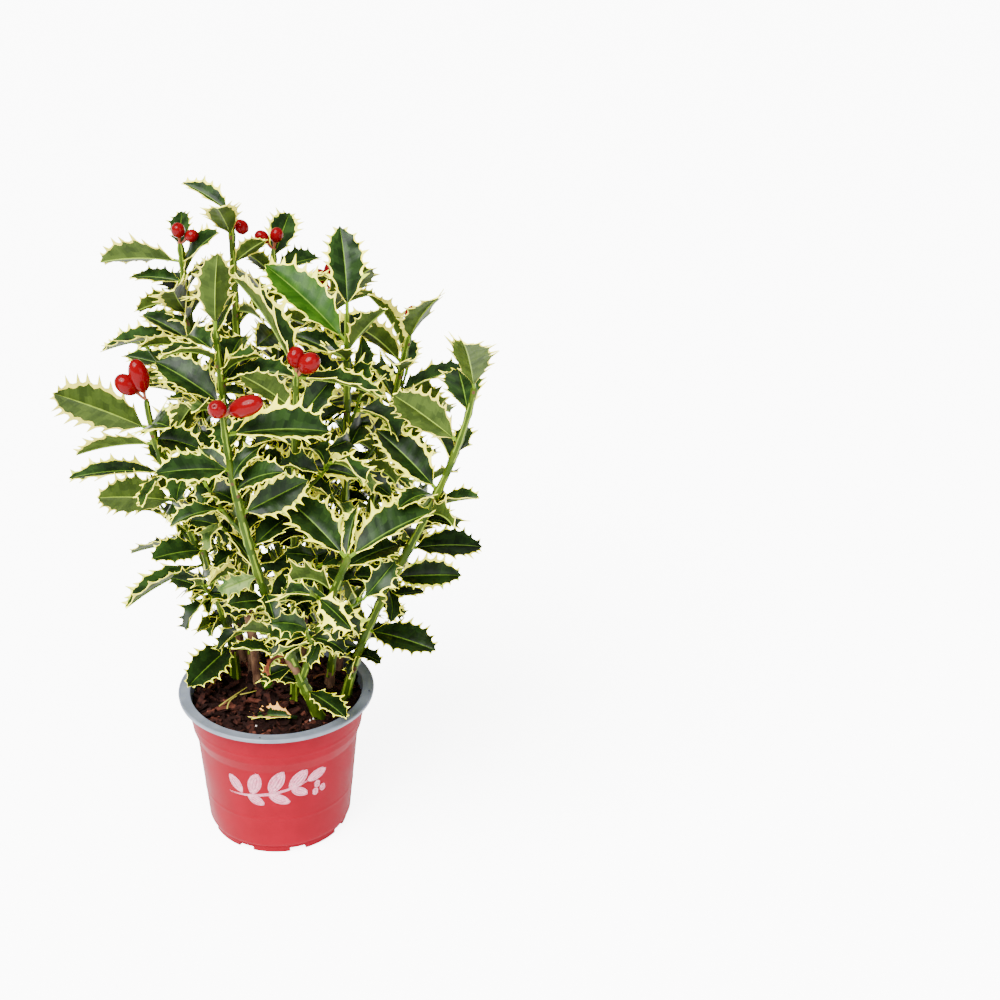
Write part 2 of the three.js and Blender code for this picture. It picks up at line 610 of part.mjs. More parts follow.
for (const mass of growMasses(fixedBodies)) {
  const fused = mass.pieces.reduce((whole, piece) => whole.add(piece));
  addNode(`foliage_${mass.shoot.name}`, geometryOf(fused), COLOURS.foliage, 0.5);
}

export default plant;
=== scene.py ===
# %% [markdown]
# # A variegated holly in its nursery pot
# A young holly has several shoots that rise from one pot of bark. Each shoot carries a spiral of stiff,
# glossy leaves with cream edges and sharp spines, and some shoots end in red berries. The frame holds the
# pot, the stems and a plain solid for each mass of foliage. This lesson dresses that frame: it grows the
# same shoots again by the same rule, then makes fine leaves, ridged stems, bark and berries on them.

# %% Load the frame
import math
import bmesh
import bpy
import numpy as np
from mathutils import Matrix, Quaternion, Vector, noise
from mathutils.bvhtree import BVHTree
from mathutils.kdtree import KDTree


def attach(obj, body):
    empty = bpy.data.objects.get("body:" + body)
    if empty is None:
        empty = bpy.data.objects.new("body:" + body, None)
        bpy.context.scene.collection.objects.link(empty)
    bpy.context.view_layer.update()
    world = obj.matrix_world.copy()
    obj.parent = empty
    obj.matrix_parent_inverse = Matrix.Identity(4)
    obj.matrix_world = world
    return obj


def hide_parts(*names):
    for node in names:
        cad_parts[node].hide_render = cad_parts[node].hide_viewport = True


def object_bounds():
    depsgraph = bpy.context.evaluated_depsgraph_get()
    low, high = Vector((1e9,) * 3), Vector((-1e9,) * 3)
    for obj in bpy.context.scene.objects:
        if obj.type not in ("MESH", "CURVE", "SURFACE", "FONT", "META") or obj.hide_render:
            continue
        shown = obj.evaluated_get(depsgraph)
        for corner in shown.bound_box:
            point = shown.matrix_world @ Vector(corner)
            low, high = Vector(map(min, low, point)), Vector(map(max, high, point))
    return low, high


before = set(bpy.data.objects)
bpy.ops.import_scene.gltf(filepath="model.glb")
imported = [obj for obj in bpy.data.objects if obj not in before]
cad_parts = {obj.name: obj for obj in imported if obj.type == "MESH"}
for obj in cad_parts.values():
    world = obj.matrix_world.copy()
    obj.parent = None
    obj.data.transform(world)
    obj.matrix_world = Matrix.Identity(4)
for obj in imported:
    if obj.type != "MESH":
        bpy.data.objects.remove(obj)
cad_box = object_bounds()
MM = 0.001
print("nodes in the frame:", len(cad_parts))

# %% [markdown]
# ## Camera, floor and light
# The camera stands 0.9 m in front of the pot, a little to its right, and looks down by 25.6 degrees, with a
# slight roll. A long lens keeps the pot's lip and foot nearly parallel. The floor is large and pale, and soft
# lights from the front and above leave only faint shadows, as in a photographer's light tent. Floor and sky
# light the plant gently, but look bright to the camera, so that the plant stands before plain white.

# %% Camera
CAMERA_PLACE = Vector((0.145, -0.911, 0.683))
CAMERA_TILT = math.radians(25.6)
CAMERA_ROLL = math.radians(2.03)
CAMERA_LENS = 57.6
CLOSEST_VIEW = 0.01


def add_object(name, data):
    """Puts a new object that shows the data into the scene."""
    thing = bpy.data.objects.new(name, data)
    bpy.context.collection.objects.link(thing)
    return thing


def make_camera():
    """A camera that looks along +Y, tilted down and rolled about its own line of sight."""
    forward = Vector((0, math.cos(CAMERA_TILT), -math.sin(CAMERA_TILT)))
    level = Vector((1, 0, 0))
    above = level.cross(forward)
    right = level * math.cos(CAMERA_ROLL) + above * math.sin(CAMERA_ROLL)
    up = above * math.cos(CAMERA_ROLL) - level * math.sin(CAMERA_ROLL)
    data = bpy.data.cameras.new("camera")
    data.lens = CAMERA_LENS
    data.clip_start = CLOSEST_VIEW
    camera = add_object("camera", data)
    turn = Matrix((right, up, -forward)).transposed().to_4x4()
    camera.matrix_world = Matrix.Translation(CAMERA_PLACE) @ turn
    return camera


bpy.context.scene.camera = make_camera()
print("camera:", round(CAMERA_PLACE.length, 2), "m from the pot's foot")

# %% Floor and light
FLOOR_SIZE = 9.0
PAPER = (0.92, 0.92, 0.92, 1)
WHITE = (1, 1, 1, 1)
# How strongly the floor and the sky light the plant, and how bright they look to the camera.
FLOOR_GLOW, FLOOR_SEEN = 1.5, 7.0
SKY_GLOW, SKY_SEEN = 0.58, 11.0
PLANT_HEART = Vector((0.0, 0.0, 0.24))


def set_inputs(node, values):
    """Gives a node's named inputs their values."""
    for label, value in values.items():
        node.inputs[label].default_value = value


def new_material(name, values):
    """A material whose Principled BSDF has the named inputs set."""
    material = bpy.data.materials.new(name)
    material.use_nodes = True
    set_inputs(material.node_tree.nodes["Principled BSDF"], values)
    return material


def add_glow(tree, node, label, lit, seen):
    """Feeds a node a strength that lights the plant as one value and looks to the camera as another."""
    path = tree.nodes.new("ShaderNodeLightPath")
    strength = tree.nodes.new("ShaderNodeMapRange")
    set_inputs(strength, {"To Min": lit, "To Max": seen})
    tree.links.new(path.outputs["Is Camera Ray"], strength.inputs["Value"])
    tree.links.new(strength.outputs["Result"], tree.nodes[node].inputs[label])


def mesh_of(name, shape):
    """A mesh made from a bmesh, which is freed."""
    data = bpy.data.meshes.new(name)
    shape.to_mesh(data)
    shape.free()
    return data


def make_floor():
    """One large pale face under the pot."""
    shape = bmesh.new()
    bmesh.ops.create_grid(shape, x_segments=1, y_segments=1, size=FLOOR_SIZE)
    floor = add_object("floor", mesh_of("floor", shape))
    paper = new_material("floor_paper", {"Base Color": PAPER, "Roughness": 0.8, "Emission Color": WHITE})
    add_glow(paper.node_tree, "Principled BSDF", "Emission Strength", FLOOR_GLOW, FLOOR_SEEN)
    floor.data.materials.append(paper)


def make_sky():
    """A world that gives a low, even light and looks as pale as the floor where it is seen."""
    sky = bpy.data.worlds.new("light_tent")
    sky.use_nodes = True
    set_inputs(sky.node_tree.nodes["Background"], {"Color": WHITE})
    add_glow(sky.node_tree, "Background", "Strength", SKY_GLOW, SKY_SEEN)
    bpy.context.scene.world = sky


def make_light(name, kind, place, power, **settings):
    """A light that faces the heart of the plant."""
    data = bpy.data.lights.new(name, kind)
    data.energy = power
    for setting, value in settings.items():
        setattr(data, setting, value)
    light = add_object(name, data)
    light.location = place
    light.rotation_euler = (PLANT_HEART - Vector(place)).to_track_quat("-Z", "Y").to_euler()


make_floor()
make_light("sky_light", "SUN", (-0.8, -1.3, 2.2), 14.5, angle=math.radians(50))
make_light("fill_light", "AREA", (1.4, -1.2, 0.9), 20, size=1.2)
make_light("sparkle_light", "AREA", (-0.5, -1.2, 1.5), 9, size=0.12)
make_sky()
print("lights:", len(bpy.data.lights))

# %% [markdown]
# ## Finishes
# Two small node groups serve every patterned finish. One turns noise into a mask between two limits, and the
# other turns noise into relief. Each material sets its own scale and strength. Leaves and berries are so many
# and so small that their finishes stay plain colours, dealt out face by face, with their relief in the mesh.

# %% Node groups
def new_group(name, inputs, outputs):
    """An empty shader node group with the named sockets."""
    group = bpy.data.node_groups.new(name, "ShaderNodeTree")
    for label, kind, value in inputs:
        socket = group.interface.new_socket(name=label, in_out="INPUT", socket_type=kind)
        if value is not None:
            socket.default_value = value
    for label, kind in outputs:
        group.interface.new_socket(name=label, in_out="OUTPUT", socket_type=kind)
    return group, group.nodes.new("NodeGroupInput"), group.nodes.new("NodeGroupOutput")


def wire(tree, *links):
    """Links nodes, each link as (node, output, node, input)."""
    for source, output, target, label in links:
        tree.links.new(source.outputs[output], target.inputs[label])


def make_mottle_group():
    """A soft mask from noise, 0 below Low and 1 above High."""
    inputs = [("Vector", "NodeSocketVector", None), ("Scale", "NodeSocketFloat", 100.0),
              ("Low", "NodeSocketFloat", 0.4), ("High", "NodeSocketFloat", 0.6)]
    group, source, result = new_group("mottle", inputs, [("Mask", "NodeSocketFloat")])
    cloud = group.nodes.new("ShaderNodeTexNoise")
    set_inputs(cloud, {"Detail": 5.0})
    limits = group.nodes.new("ShaderNodeMapRange")
    wire(group, (source, "Vector", cloud, "Vector"), (source, "Scale", cloud, "Scale"),
         (cloud, "Fac", limits, "Value"), (source, "Low", limits, "From Min"),
         (source, "High", limits, "From Max"), (limits, "Result", result, "Mask"))
    return group


def make_relief_group():
    """A normal roughened by noise at one scale."""
    inputs = [("Vector", "NodeSocketVector", None), ("Scale", "NodeSocketFloat", 500.0),
              ("Depth", "NodeSocketFloat", 0.0002), ("Strength", "NodeSocketFloat", 0.5)]
    group, source, result = new_group("relief", inputs, [("Normal", "NodeSocketVector")])
    grain = group.nodes.new("ShaderNodeTexNoise")
    set_inputs(grain, {"Detail": 4.0})
    bump = group.nodes.new("ShaderNodeBump")
    wire(group, (source, "Vector", grain, "Vector"), (source, "Scale", grain, "Scale"),
         (source, "Depth", bump, "Distance"), (source, "Strength", bump, "Strength"),
         (grain, "Fac", bump, "Height"), (bump, "Normal", result, "Normal"))
    return group


MOTTLE = make_mottle_group()
RELIEF = make_relief_group()
print("node groups:", MOTTLE.name, RELIEF.name)

# %% Material helpers
def screen_colour(red, green, blue):
    """A colour named by its 0 to 255 screen values, as the linear values that a shader needs."""
    linear = [value / 255 / 12.92 if value < 11 else ((value / 255 + 0.055) / 1.055) ** 2.4
              for value in (red, green, blue)]
    return (*linear, 1.0)


def plain_material(name, colour, roughness, specular=0.4):
    """One colour and one gloss, for pieces whose relief is in the mesh."""
    return new_material(name, {"Base Color": screen_colour(*colour), "Roughness": roughness,
                               "Specular IOR Level": specular})


def place_group(tree, group, labels, values):
    """Places a node group in a material, with its own values."""
    node = tree.nodes.new("ShaderNodeGroup")
    node.node_tree = group
    set_inputs(node, dict(zip(labels, values)))
    return node


def patterned_material(name, colours, mottle, relief, roughness, stretch=(1, 1, 1), specular=0.2):
    """Two colours mixed by the mottle group, with relief from noise.

    mottle is (scale, low, high), relief is (scale, depth in metres, strength), roughness is (low, high).
    """
    material = plain_material(name, colours[0], roughness[0], specular)
    tree = material.node_tree
    shader = tree.nodes["Principled BSDF"]
    place = tree.nodes.new("ShaderNodeTexCoord")
    mapping = tree.nodes.new("ShaderNodeMapping")
    set_inputs(mapping, {"Scale": stretch})
    mask = place_group(tree, MOTTLE, ("Scale", "Low", "High"), mottle)
    blend = tree.nodes.new("ShaderNodeMix")
    blend.data_type = "RGBA"
    set_inputs(blend, {"A": screen_colour(*colours[0]), "B": screen_colour(*colours[1])})
    gloss = tree.nodes.new("ShaderNodeMapRange")
    set_inputs(gloss, {"To Min": roughness[0], "To Max": roughness[1]})
    grain = place_group(tree, RELIEF, ("Scale", "Depth", "Strength"), relief)
    wire(tree, (place, "Object", mapping, "Vector"), (mapping, "Vector", mask, "Vector"),
         (mask, "Mask", blend, "Factor"), (blend, "Result", shader, "Base Color"),
         (mask, "Mask", gloss, "Value"), (gloss, "Result", shader, "Roughness"),
         (mapping, "Vector", grain, "Vector"), (grain, "Normal", shader, "Normal"))
    return material


# %% Finishing a piece
SMOOTH_TO = math.radians(40)


def smooth(data, sharp):
    """Shades a mesh smooth, but for the edges that bend more than the sharp angle."""
    data.shade_smooth()
    data.set_sharp_from_angle(angle=sharp)


def finish_mesh(name, data, materials, nodes, sharp):
    """Gives a mesh its materials and smooth shading, and links it into the frame."""
    for material in materials:
        data.materials.append(material)
    smooth(data, sharp)
    piece = add_object(name, data)
    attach(piece, "root")
    if nodes:
        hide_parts(*nodes)
    triangles = sum(len(face.vertices) - 2 for face in data.polygons)
    print(f"{name}: {triangles} triangles")
    return piece


def finish_piece(name, shape, materials, nodes, sharp=SMOOTH_TO):
    """Turns a bmesh in millimetres into a finished piece of the plant that rides on the root body."""
    bmesh.ops.scale(shape, vec=(MM, MM, MM), verts=shape.verts)
    return finish_mesh(name, mesh_of(name, shape), materials, nodes, sharp)


def faces_of(verts):
    """Every face that touches one of the vertices."""
    return {face for vert in verts for face in vert.link_faces}


def paint(faces, number):
    """Gives faces the material with that number."""
    for face in faces:
        face.material_index = number


# %% [markdown]
# ## How the plant grows
# Every place on the plant comes from one seeded rule, the same that shaped the frame's solids. A shoot runs
# from its foot to its tip with a gentle bend. A few leaves are listed one by one where the plant has its most
# telling ones, and the rest follow a spiral from the tip down: steep at the top, level lower down. A leaf
# that would touch another shoot's leaf, a stem, or the pot is left out. Lengths here are in millimetres.

# %% Sizes of the plant
POT_HEIGHT = 103.0
LIP_RADIUS = 65.0
SOIL_LEVEL = 92.0
GAP = 0.3  # kept between solids that don't touch
TIP_RADIUS = 1.5
FLARE = 1.4  # what a shoot's radius gains at its foot
FLARE_LENGTH = 9.0
STEM_SIDES = 5
STEM_STEPS = 4
SHOOT_STEPS = 5
GROUND_SIDES = 24
GROUND_MARGIN = 1
BERRY_SIDES = 7
BERRY_STEPS = 4
BERRY_END = 0.01  # keeps the ends of a rough berry from closing to a point

# %% Sizes of a leaf
LEAF_LENGTH = 52.0
LEAF_WIDTH = 0.29  # half its width, as a share of its length
PETIOLE = 0.12  # the share of a leaf that is its stalk
BLADE_SLANT, BLADE_FULLNESS = 0.85, 0.72  # where the blade is widest, and how full it is
RIB_THICKNESS = 0.030
ROOT_DEPTH = 0.8  # how far a leaf's root is sunk into its shoot
NECK_WIDTH = 1.0
NECK_LENGTH = 0.02
RIDGE_END = 0.5
TEETH = 3
SMALL_TEETH = 2
FEW_TEETH_FROM = 0.55  # the share of the way down from which leaves have fewer teeth
TOOTH_PLACE, BAY_PLACE, TEETH_END = 0.75, 1.15, 0.35  # counted in teeth
BAY = 0.70  # the width in a bay, as a share of that at a tooth
FOLD = 0.42
CURL, CHOSEN_CURL, TWIG_CURL = 0.75, 0.4, 0.8  # how far a leaf turns down along its length

# %% How the leaves are set
LEAF_SPACING = 13.0
SPIRAL = 2.39996  # the turn from one leaf to the next
FIRST_LEAF = 1.2  # spacings from the tip to the first leaf of the spiral
TOP_RISE, LOW_RISE, RISE_FALL = 0.95, 0.05, 1.5  # the last says how soon the low value is reached
LOW_LEAF_SIZE, SIZE_FALL = 0.45, 1.3
TOP_TURN, LOW_TURN = 1.1, 3.0  # how far a leaf may roll about its midrib
FORK_LEAF_SIZE = 0.82
MOST_LEAVES = 30
CLEARANCE = 0.5  # left round everything that grows
FREE_FROM = 0.2  # nearer to its root a leaf may touch its own shoot's
AIR = 4.0  # left round the listed leaves
LIGHT_LEAN = 0.7
CORE = 40.0  # nearer to the middle than this the light comes from above
TWIG_LENGTH = 40.0
TWIG_RADIUS, TWIG_TIP_RADIUS = 1.3, 1
TWIG_RISE = math.radians(38)
TWIG_ARCH = 8
TWIG_STEPS = 2
TWIGS_FROM, TWIGS_OVER = 0.12, 0.55  # the stretch of the leafy part that carries twigs
TWIG_LEAVES = 4
TWIG_LEAF_PART = 0.8
TWIG_LEAF_AGE, TWIG_LEAF_AGEING = 0.3, 0.4
TWIG_LEAF_SIZES = (0.42, 0.66)
TWIG_LEAF_RISES = (math.radians(40), math.radians(5))
BERRY_LENGTH = 15.0
BERRY_WIDTH = 10.5
BERRY_FULLNESS = 0.8
STALK_LENGTH = 6.0
STALK_DEPTH = 2  # how far a stalk is sunk into the tip of its shoot
# The widths of the seeded shifts of a leaf on the spiral, of a side twig and of a leaf on it.
LEAF_SHIFTS = dict(azimuth=0.5, rise=0.7, size=0.24, roll=1.0, curl=0.7)
TWIG_SHIFTS = dict(azimuth=0.8, rise=0.4, length=0.3)
TWIG_LEAF_SHIFTS = dict(azimuth=0.4, rise=0.5, size=0.3, roll=0.9)

# %% The shoots
# Each row: foot on the soil (or the shoot it forks from and where), tip, two bends (bow, and sway for an S),
# share with no leaves, radius at the foot, seed, spacing of the leaves where it is open, side twigs, then the
# chosen leaves as (share, azimuth, rise, length, roll) and the berries as (azimuth, rise, length) with a
# shorter stalk's length where it has one.
SHOOTS = [
    dict(name="left", foot=(-32, 24), tip=(-71, -16, 314), bow=-0.22, sway=-0.88, bare=0.16,
         radius=2.7, seed=11, spacing=1.6, twigs=1,
         leaves=[(0.88, 195, 30, 66, 95), (0.83, 175, 0, 50, 30), (0.71, 175, 5, 62, 10),
                 (0.6, 200, 15, 52, 90), (0.41, 175, 0, 44, 15), (0.32, 220, 0, 60, 10),
                 (0.77, 15, 65, 46, -75), (0.72, 250, -5, 34, 25), (0.59, 5, 35, 44, -15)],
         berries=[(200, 78, 22), (190, 40, 16, 8)]),
    dict(name="front", foot=(32, -24), tip=(-13, -80, 332), bow=0.6, sway=-0.13, bare=0.2,
         radius=3, seed=23, spacing=2.4, twigs=0,
         leaves=[(0.93, 15, 8, 60, 15), (0.77, 150, 35, 30, -30), (0.88, 65, 35, 26, -5),
                 (0.52, 45, 30, 42, 20), (0.41, 130, 40, 36, 20), (0.69, 75, 50, 30, -25),
                 (0.26, 65, 40, 38, -5), (0.31, 230, 25, 30, -35)],
         berries=[(353, 24, 22), (262, 38, 13)]),
    dict(name="right", foot=(45.5, 0), tip=(128, -36, 337), bow=0, sway=-0.55, bare=0.14,
         radius=2.7, seed=37, spacing=2, twigs=0,
         leaves=[(0.99, 260, 60, 56, 5), (0.91, 100, 25, 46, 0), (0.82, 180, 40, 52, 95),
                 (0.65, 160, 45, 54, -30), (0.59, 355, 30, 32, -15), (0.44, 15, 5, 48, 20),
                 (0.24, 30, 10, 30, -5), (0.33, 335, 20, 46, 50), (0.12, 330, 10, 50, 25)],
         berries=[]),
    dict(name="tall", foot=(-20, 26), tip=(-25, 40, 414), bow=-0.2, bare=0.13,
         radius=2.9, seed=41, twigs=2,
         leaves=[(1, 160, 35, 36, -10), (0.95, 260, 50, 42, 25), (0.89, 355, 45, 28, -60)],
         berries=[(350, -50, 10, 7)]),
    dict(name="middle", foot=(-14, 12), tip=(-25, -26, 363), bow=0.2, bare=0.18,
         radius=2.6, seed=53, twigs=1,
         leaves=[(1, 100, 80, 46, -160), (0.77, 165, 35, 50, -25), (0.98, 75, 55, 30, -25)],
         berries=[]),
    dict(name="rear_left", foot=(-28, 40), tip=(-55, 31, 398), bow=0.45, bare=0.15,
         radius=2.6, seed=61, twigs=2,
         leaves=[(0.98, 100, 45, 30, -10), (0.95, 165, 5, 52, 40), (0.9, 170, 10, 36, -15),
                 (0.86, 210, 5, 34, 50), (0.76, 175, 0, 58, 5), (0.75, 155, 25, 40, -20)],
         berries=[(270, 65, 10), (340, 30, 9, 7)]),
    dict(name="rear", foot=(-2, 34), tip=(-3, 62, 387), bow=-0.2, bare=0.15,
         radius=2.6, seed=73, twigs=2,
         leaves=[(0.97, 75, 45, 38, 15), (0.93, 210, 50, 26, 60), (0.94, 35, 15, 34, 30)],
         berries=[(200, 45, 10, 7), (330, 72, 10)]),
    dict(name="inner_right", foot=(33, 12), tip=(49, 5, 366), bow=1.1, bare=0.16,
         radius=2.5, seed=83, twigs=2,
         leaves=[(1, 95, 70, 52, 25), (0.91, 160, 45, 70, -25), (0.89, 0, 60, 38, -40),
                 (0.86, 155, 25, 40, -5)],
         berries=[]),
    dict(name="inner_front", foot=(12, -4), tip=(24, -43, 343), bow=-0.2, bare=0.18,
         radius=2.3, seed=97, twigs=1,
         leaves=[(1, 135, 55, 68, 30), (0.88, 190, 45, 42, 70), (0.99, 15, -5, 54, -10),
                 (0.8, 180, 30, 40, 50)],
         berries=[(90, 81, 13), (345, 45, 15)]),
    dict(name="rear_right", foot=(36, 32), tip=(84, 52, 338), bow=-0.1, bare=0.15,
         radius=2.5, seed=103, twigs=2,
         leaves=[(0.97, 310, 62, 50, 0), (0.8, 10, 30, 52, 0)],
         berries=[(60, 72, 13)]),
    dict(name="back", foot=(10, 45), tip=(28, 104, 348), bow=-0.2, bare=0.13,
         radius=2.5, seed=113, twigs=2,
         leaves=[(0.92, 280, 50, 44, 0), (0.8, 60, 30, 54, 0)],
         berries=[(80, 70, 14), (160, 40, 12)]),
    dict(name="back_left", foot=(-20, 44), tip=(-68, 88, 330), bow=-0.2, bare=0.13,
         radius=2.5, seed=127, twigs=2,
         leaves=[(0.97, 330, 62, 50, 0), (0.8, 170, 25, 52, 0)],
         berries=[(120, 66, 13)]),
    dict(name="fork_right", fork="front", at=0.16, tip=(57, -77, 243), bow=-0.1, bare=0.14,
         radius=2.1, seed=131, twigs=0,
         leaves=[(0.97, 150, 40, 58, -15), (0.97, 90, 50, 34, -35), (0.97, 30, 30, 60, 5),
                 (0.89, 40, 15, 42, 10)],
         berries=[]),
    dict(name="fork_left", fork="left", at=0.12, tip=(-41, -18, 216), bow=0.1, bare=0.12,
         radius=2.0, seed=149, twigs=1,
         leaves=[(0.95, 230, 20, 38, -30)],
         berries=[]),
    dict(name="fork_back", fork="rear_right", at=0.1, tip=(78, 78, 236), bow=0.1, bare=0.12,
         radius=2.0, seed=157, twigs=1,
         leaves=[(1, 60, 66, 42, 0)],
         berries=[]),
]
SHOOT_NAMED = {shoot["name"]: shoot for shoot in SHOOTS}
print("shoots:", len(SHOOTS))

# %% The seeded numbers, directions and the run of a shoot
WORD = 0xFFFFFFFF  # the numbers are mixed as whole numbers of 32 bits


def random_from(seed):
    """The same seed always gives the same numbers between 0 and 1."""
    state = seed & WORD

    def draw():
        nonlocal state
        state = (state + 0x6D2B79F5) & WORD
        mixed = ((state ^ (state >> 15)) * (state | 1)) & WORD
        mixed = ((mixed + (((mixed ^ (mixed >> 7)) * (mixed | 61)) & WORD)) ^ mixed) & WORD
        return (mixed ^ (mixed >> 14)) / (WORD + 1)

    return draw


def shifts(draw, widths):
    """A seeded shift to either side for each named width."""
    return {name: width * (draw() - 0.5) for name, width in widths.items()}


def mix(a, b, share):
    """The value at a share of the way from a to b."""
    return a + (b - a) * share


def direction_of(azimuth, rise):
    """The direction with an azimuth round the plant and a rise above level, in radians."""
    level = math.cos(rise)
    return Vector((level * math.cos(azimuth), level * math.sin(azimuth), math.sin(rise)))


def foot_of(shoot):
    """Where a shoot leaves the filling, or the shoot that it forks from."""
    if "fork" in shoot:
        return point_on(SHOOT_NAMED[shoot["fork"]], shoot["at"])
    return Vector((*shoot["foot"], SOIL_LEVEL + GAP))


def point_on(shoot, share):
    """The middle of a shoot at a share of its height."""
    foot = foot_of(shoot)
    bend = shoot["bow"] + shoot.get("sway", 0) * (1 - 2 * share)
    lean = share + bend * share * (1 - share)
    x, y, z = shoot["tip"]
    return Vector((mix(foot.x, x, lean), mix(foot.y, y, lean), mix(foot.z, z, share)))


def radius_on(shoot, share):
    """A shoot's radius: it tapers to the tip, and flares at a foot in the filling."""
    above = max(point_on(shoot, share).z - SOIL_LEVEL, 0)
    flare = 0 if "fork" in shoot else FLARE * math.exp(-above / FLARE_LENGTH)
    return mix(shoot["radius"], TIP_RADIUS, share) + flare


# %% Rough bodies, for the test of what touches what
SKY = Vector((0, 0, 1))
NUDGE = 0.01


def section_frame(point_at, share):
    """The two directions across a path at one place."""
    along = (point_at(share + NUDGE) - point_at(share - NUDGE)).normalized()
    across = (Vector((1, 0, 0)) - along * along.x).normalized()
    return across, across.cross(along)


def rough_tube(point_at, radius_at, steps, sides=STEM_SIDES):
    """Points and faces of a plain tube with closed ends."""
    points = []
    for step in range(steps + 1):
        share = step / steps
        across, third = section_frame(point_at, share)
        for side in range(sides):
            turn = 2 * math.pi * side / sides
            out = across * math.sin(turn) + third * math.cos(turn)
            points.append(point_at(share) + out * radius_at(share))
    faces = [list(range(sides)), list(range(steps * sides, (steps + 1) * sides))]
    for step in range(steps):
        for side in range(sides):
            a, b = step * sides + side, step * sides + (side + 1) % sides
            faces.append([a, b, b + sides, a + sides])
    return points, faces


def light_at(place):
    """Where the light comes from: above, and from outside the plant."""
    level = Vector((place.x, place.y, 0))
    return level / max(level.length, CORE) * LIGHT_LEAN + SKY


def leaf_frame(leaf):
    """The directions out along a leaf, up from its face and to its side."""
    out = direction_of(leaf["azimuth"], leaf["rise"])
    up = (leaf["light"] - out * out.dot(leaf["light"])).normalized()
    up = Quaternion(out, leaf["roll"]) @ up
    return out, up, up.cross(out)


def leaf_point(leaf, axes, along, across, lift):
    """A point of the curled leaf: its share along it, and its distances across and above it."""
    out, up, side = axes
    turn = leaf["curl"] * along
    reach = leaf["length"] / leaf["curl"] * math.sin(turn)
    drop = leaf["length"] / leaf["curl"] * (math.cos(turn) - 1)
    return (leaf["root"] + out * (reach + lift * math.sin(turn)) + up * (drop + lift * math.cos(turn))
            + side * across)


def blade_width(along):
    """Half the blade's width at a place along the leaf, as a share of the widest."""
    share = (along - PETIOLE) / (1 - PETIOLE)
    return 0.0 if share <= 0 else max(math.sin(math.pi * share ** BLADE_SLANT), 0.0) ** BLADE_FULLNESS


def rough_leaf(leaf, extra, start=None):
    """The frame's plain leaf: a toothed outline and two ridges."""
    axes = leaf_frame(leaf)
    start = -ROOT_DEPTH / leaf["length"] if start is None else start
    ridge = leaf["length"] * RIB_THICKNESS / 2 + extra
    half_width = leaf["length"] * LEAF_WIDTH
    neck = max(PETIOLE, start + NECK_LENGTH)
    edge = [(neck, NECK_WIDTH + extra, True)]
    for tooth in range(leaf["teeth"]):
        for offset, narrowing in ((TOOTH_PLACE, 1), (BAY_PLACE, BAY)):
            place = mix(PETIOLE, 1, (tooth + offset) / (leaf["teeth"] + TEETH_END))
            edge.append((place, half_width * narrowing * blade_width(place) + extra, False))
    ring = [(start, 0.0, True), *edge, (1 + extra / leaf["length"], 0.0, False)]
    ring += [(along, -across, near) for along, across, near in reversed(edge)]
    points = [leaf_point(leaf, axes, along, across * math.cos(FOLD), abs(across) * math.sin(FOLD))
              for along, across, _ in ring]
    count = len(points)
    for lift in (ridge, -ridge):
        points.append(leaf_point(leaf, axes, neck, 0, lift))
        points.append(leaf_point(leaf, axes, RIDGE_END, 0, lift))
    faces = []
    for i in range(count):
        following = (i + 1) % count
        for first in (count, count + 2):
            apex = first if ring[i][2] else first + 1
            next_apex = first if ring[following][2] else first + 1
            faces.append([i, following, apex])
            if apex != next_apex:
                faces.append([following, next_apex, apex])
    return points, faces


class Body:
    """A rough shape with its box, ready to be tested against others."""

    def __init__(self, shape):
        points, faces = shape
        flat = np.array(points)
        self.low, self.high = flat.min(0), flat.max(0)
        self.tree = BVHTree.FromPolygons(points, faces)

    def touches(self, other):
        if (self.low > other.high).any() or (other.low > self.high).any():
            return False
        return len(self.tree.overlap(other.tree)) > 0

    def clear_of(self, others):
        """True where none of the others is touched."""
        return not any(self.touches(other) for other in others)


# %% Growing by the frame's rule
class Mass:
    """What one shoot has grown, and the bodies that its neighbours must stay clear of."""

    def __init__(self, shoot):
        self.shoot = shoot
        self.random = random_from(shoot["seed"])
        self.leaves, self.twigs, self.berries, self.bodies, self.blades = [], [], [], [], []
        length = (point_on(shoot, 1) - foot_of(shoot)).length
        self.start = shoot["bare"] + GAP / length
        self.keep(lambda extra: rough_stretch(shoot, self.start, 1, extra, SHOOT_STEPS))

    def keep(self, shape):
        """Keeps a shape that the leaves have to stay clear of."""
        self.bodies.append(Body(shape(CLEARANCE)))
        self.blades.append(Body(shape(0)))


def rough_stretch(shoot, low, high, extra, steps):
    """The part of a shoot between two shares of it."""
    return rough_tube(lambda s: point_on(shoot, mix(low, high, s)),
                      lambda s: radius_on(shoot, mix(low, high, s)) + extra, steps)


def add_leaf(mass, fixed, leaf):
    """Keeps a leaf if nothing is in its way."""
    body = Body(rough_leaf(leaf, CLEARANCE))
    blade = Body(rough_leaf(leaf, 0, FREE_FROM))
    if not body.clear_of(fixed) or not blade.clear_of(mass.blades):
        return False
    if any(other is not mass and not body.clear_of(other.bodies) for other in masses):
        return False
    mass.leaves.append(leaf)
    mass.bodies.append(body)
    mass.blades.append(blade)
    return True


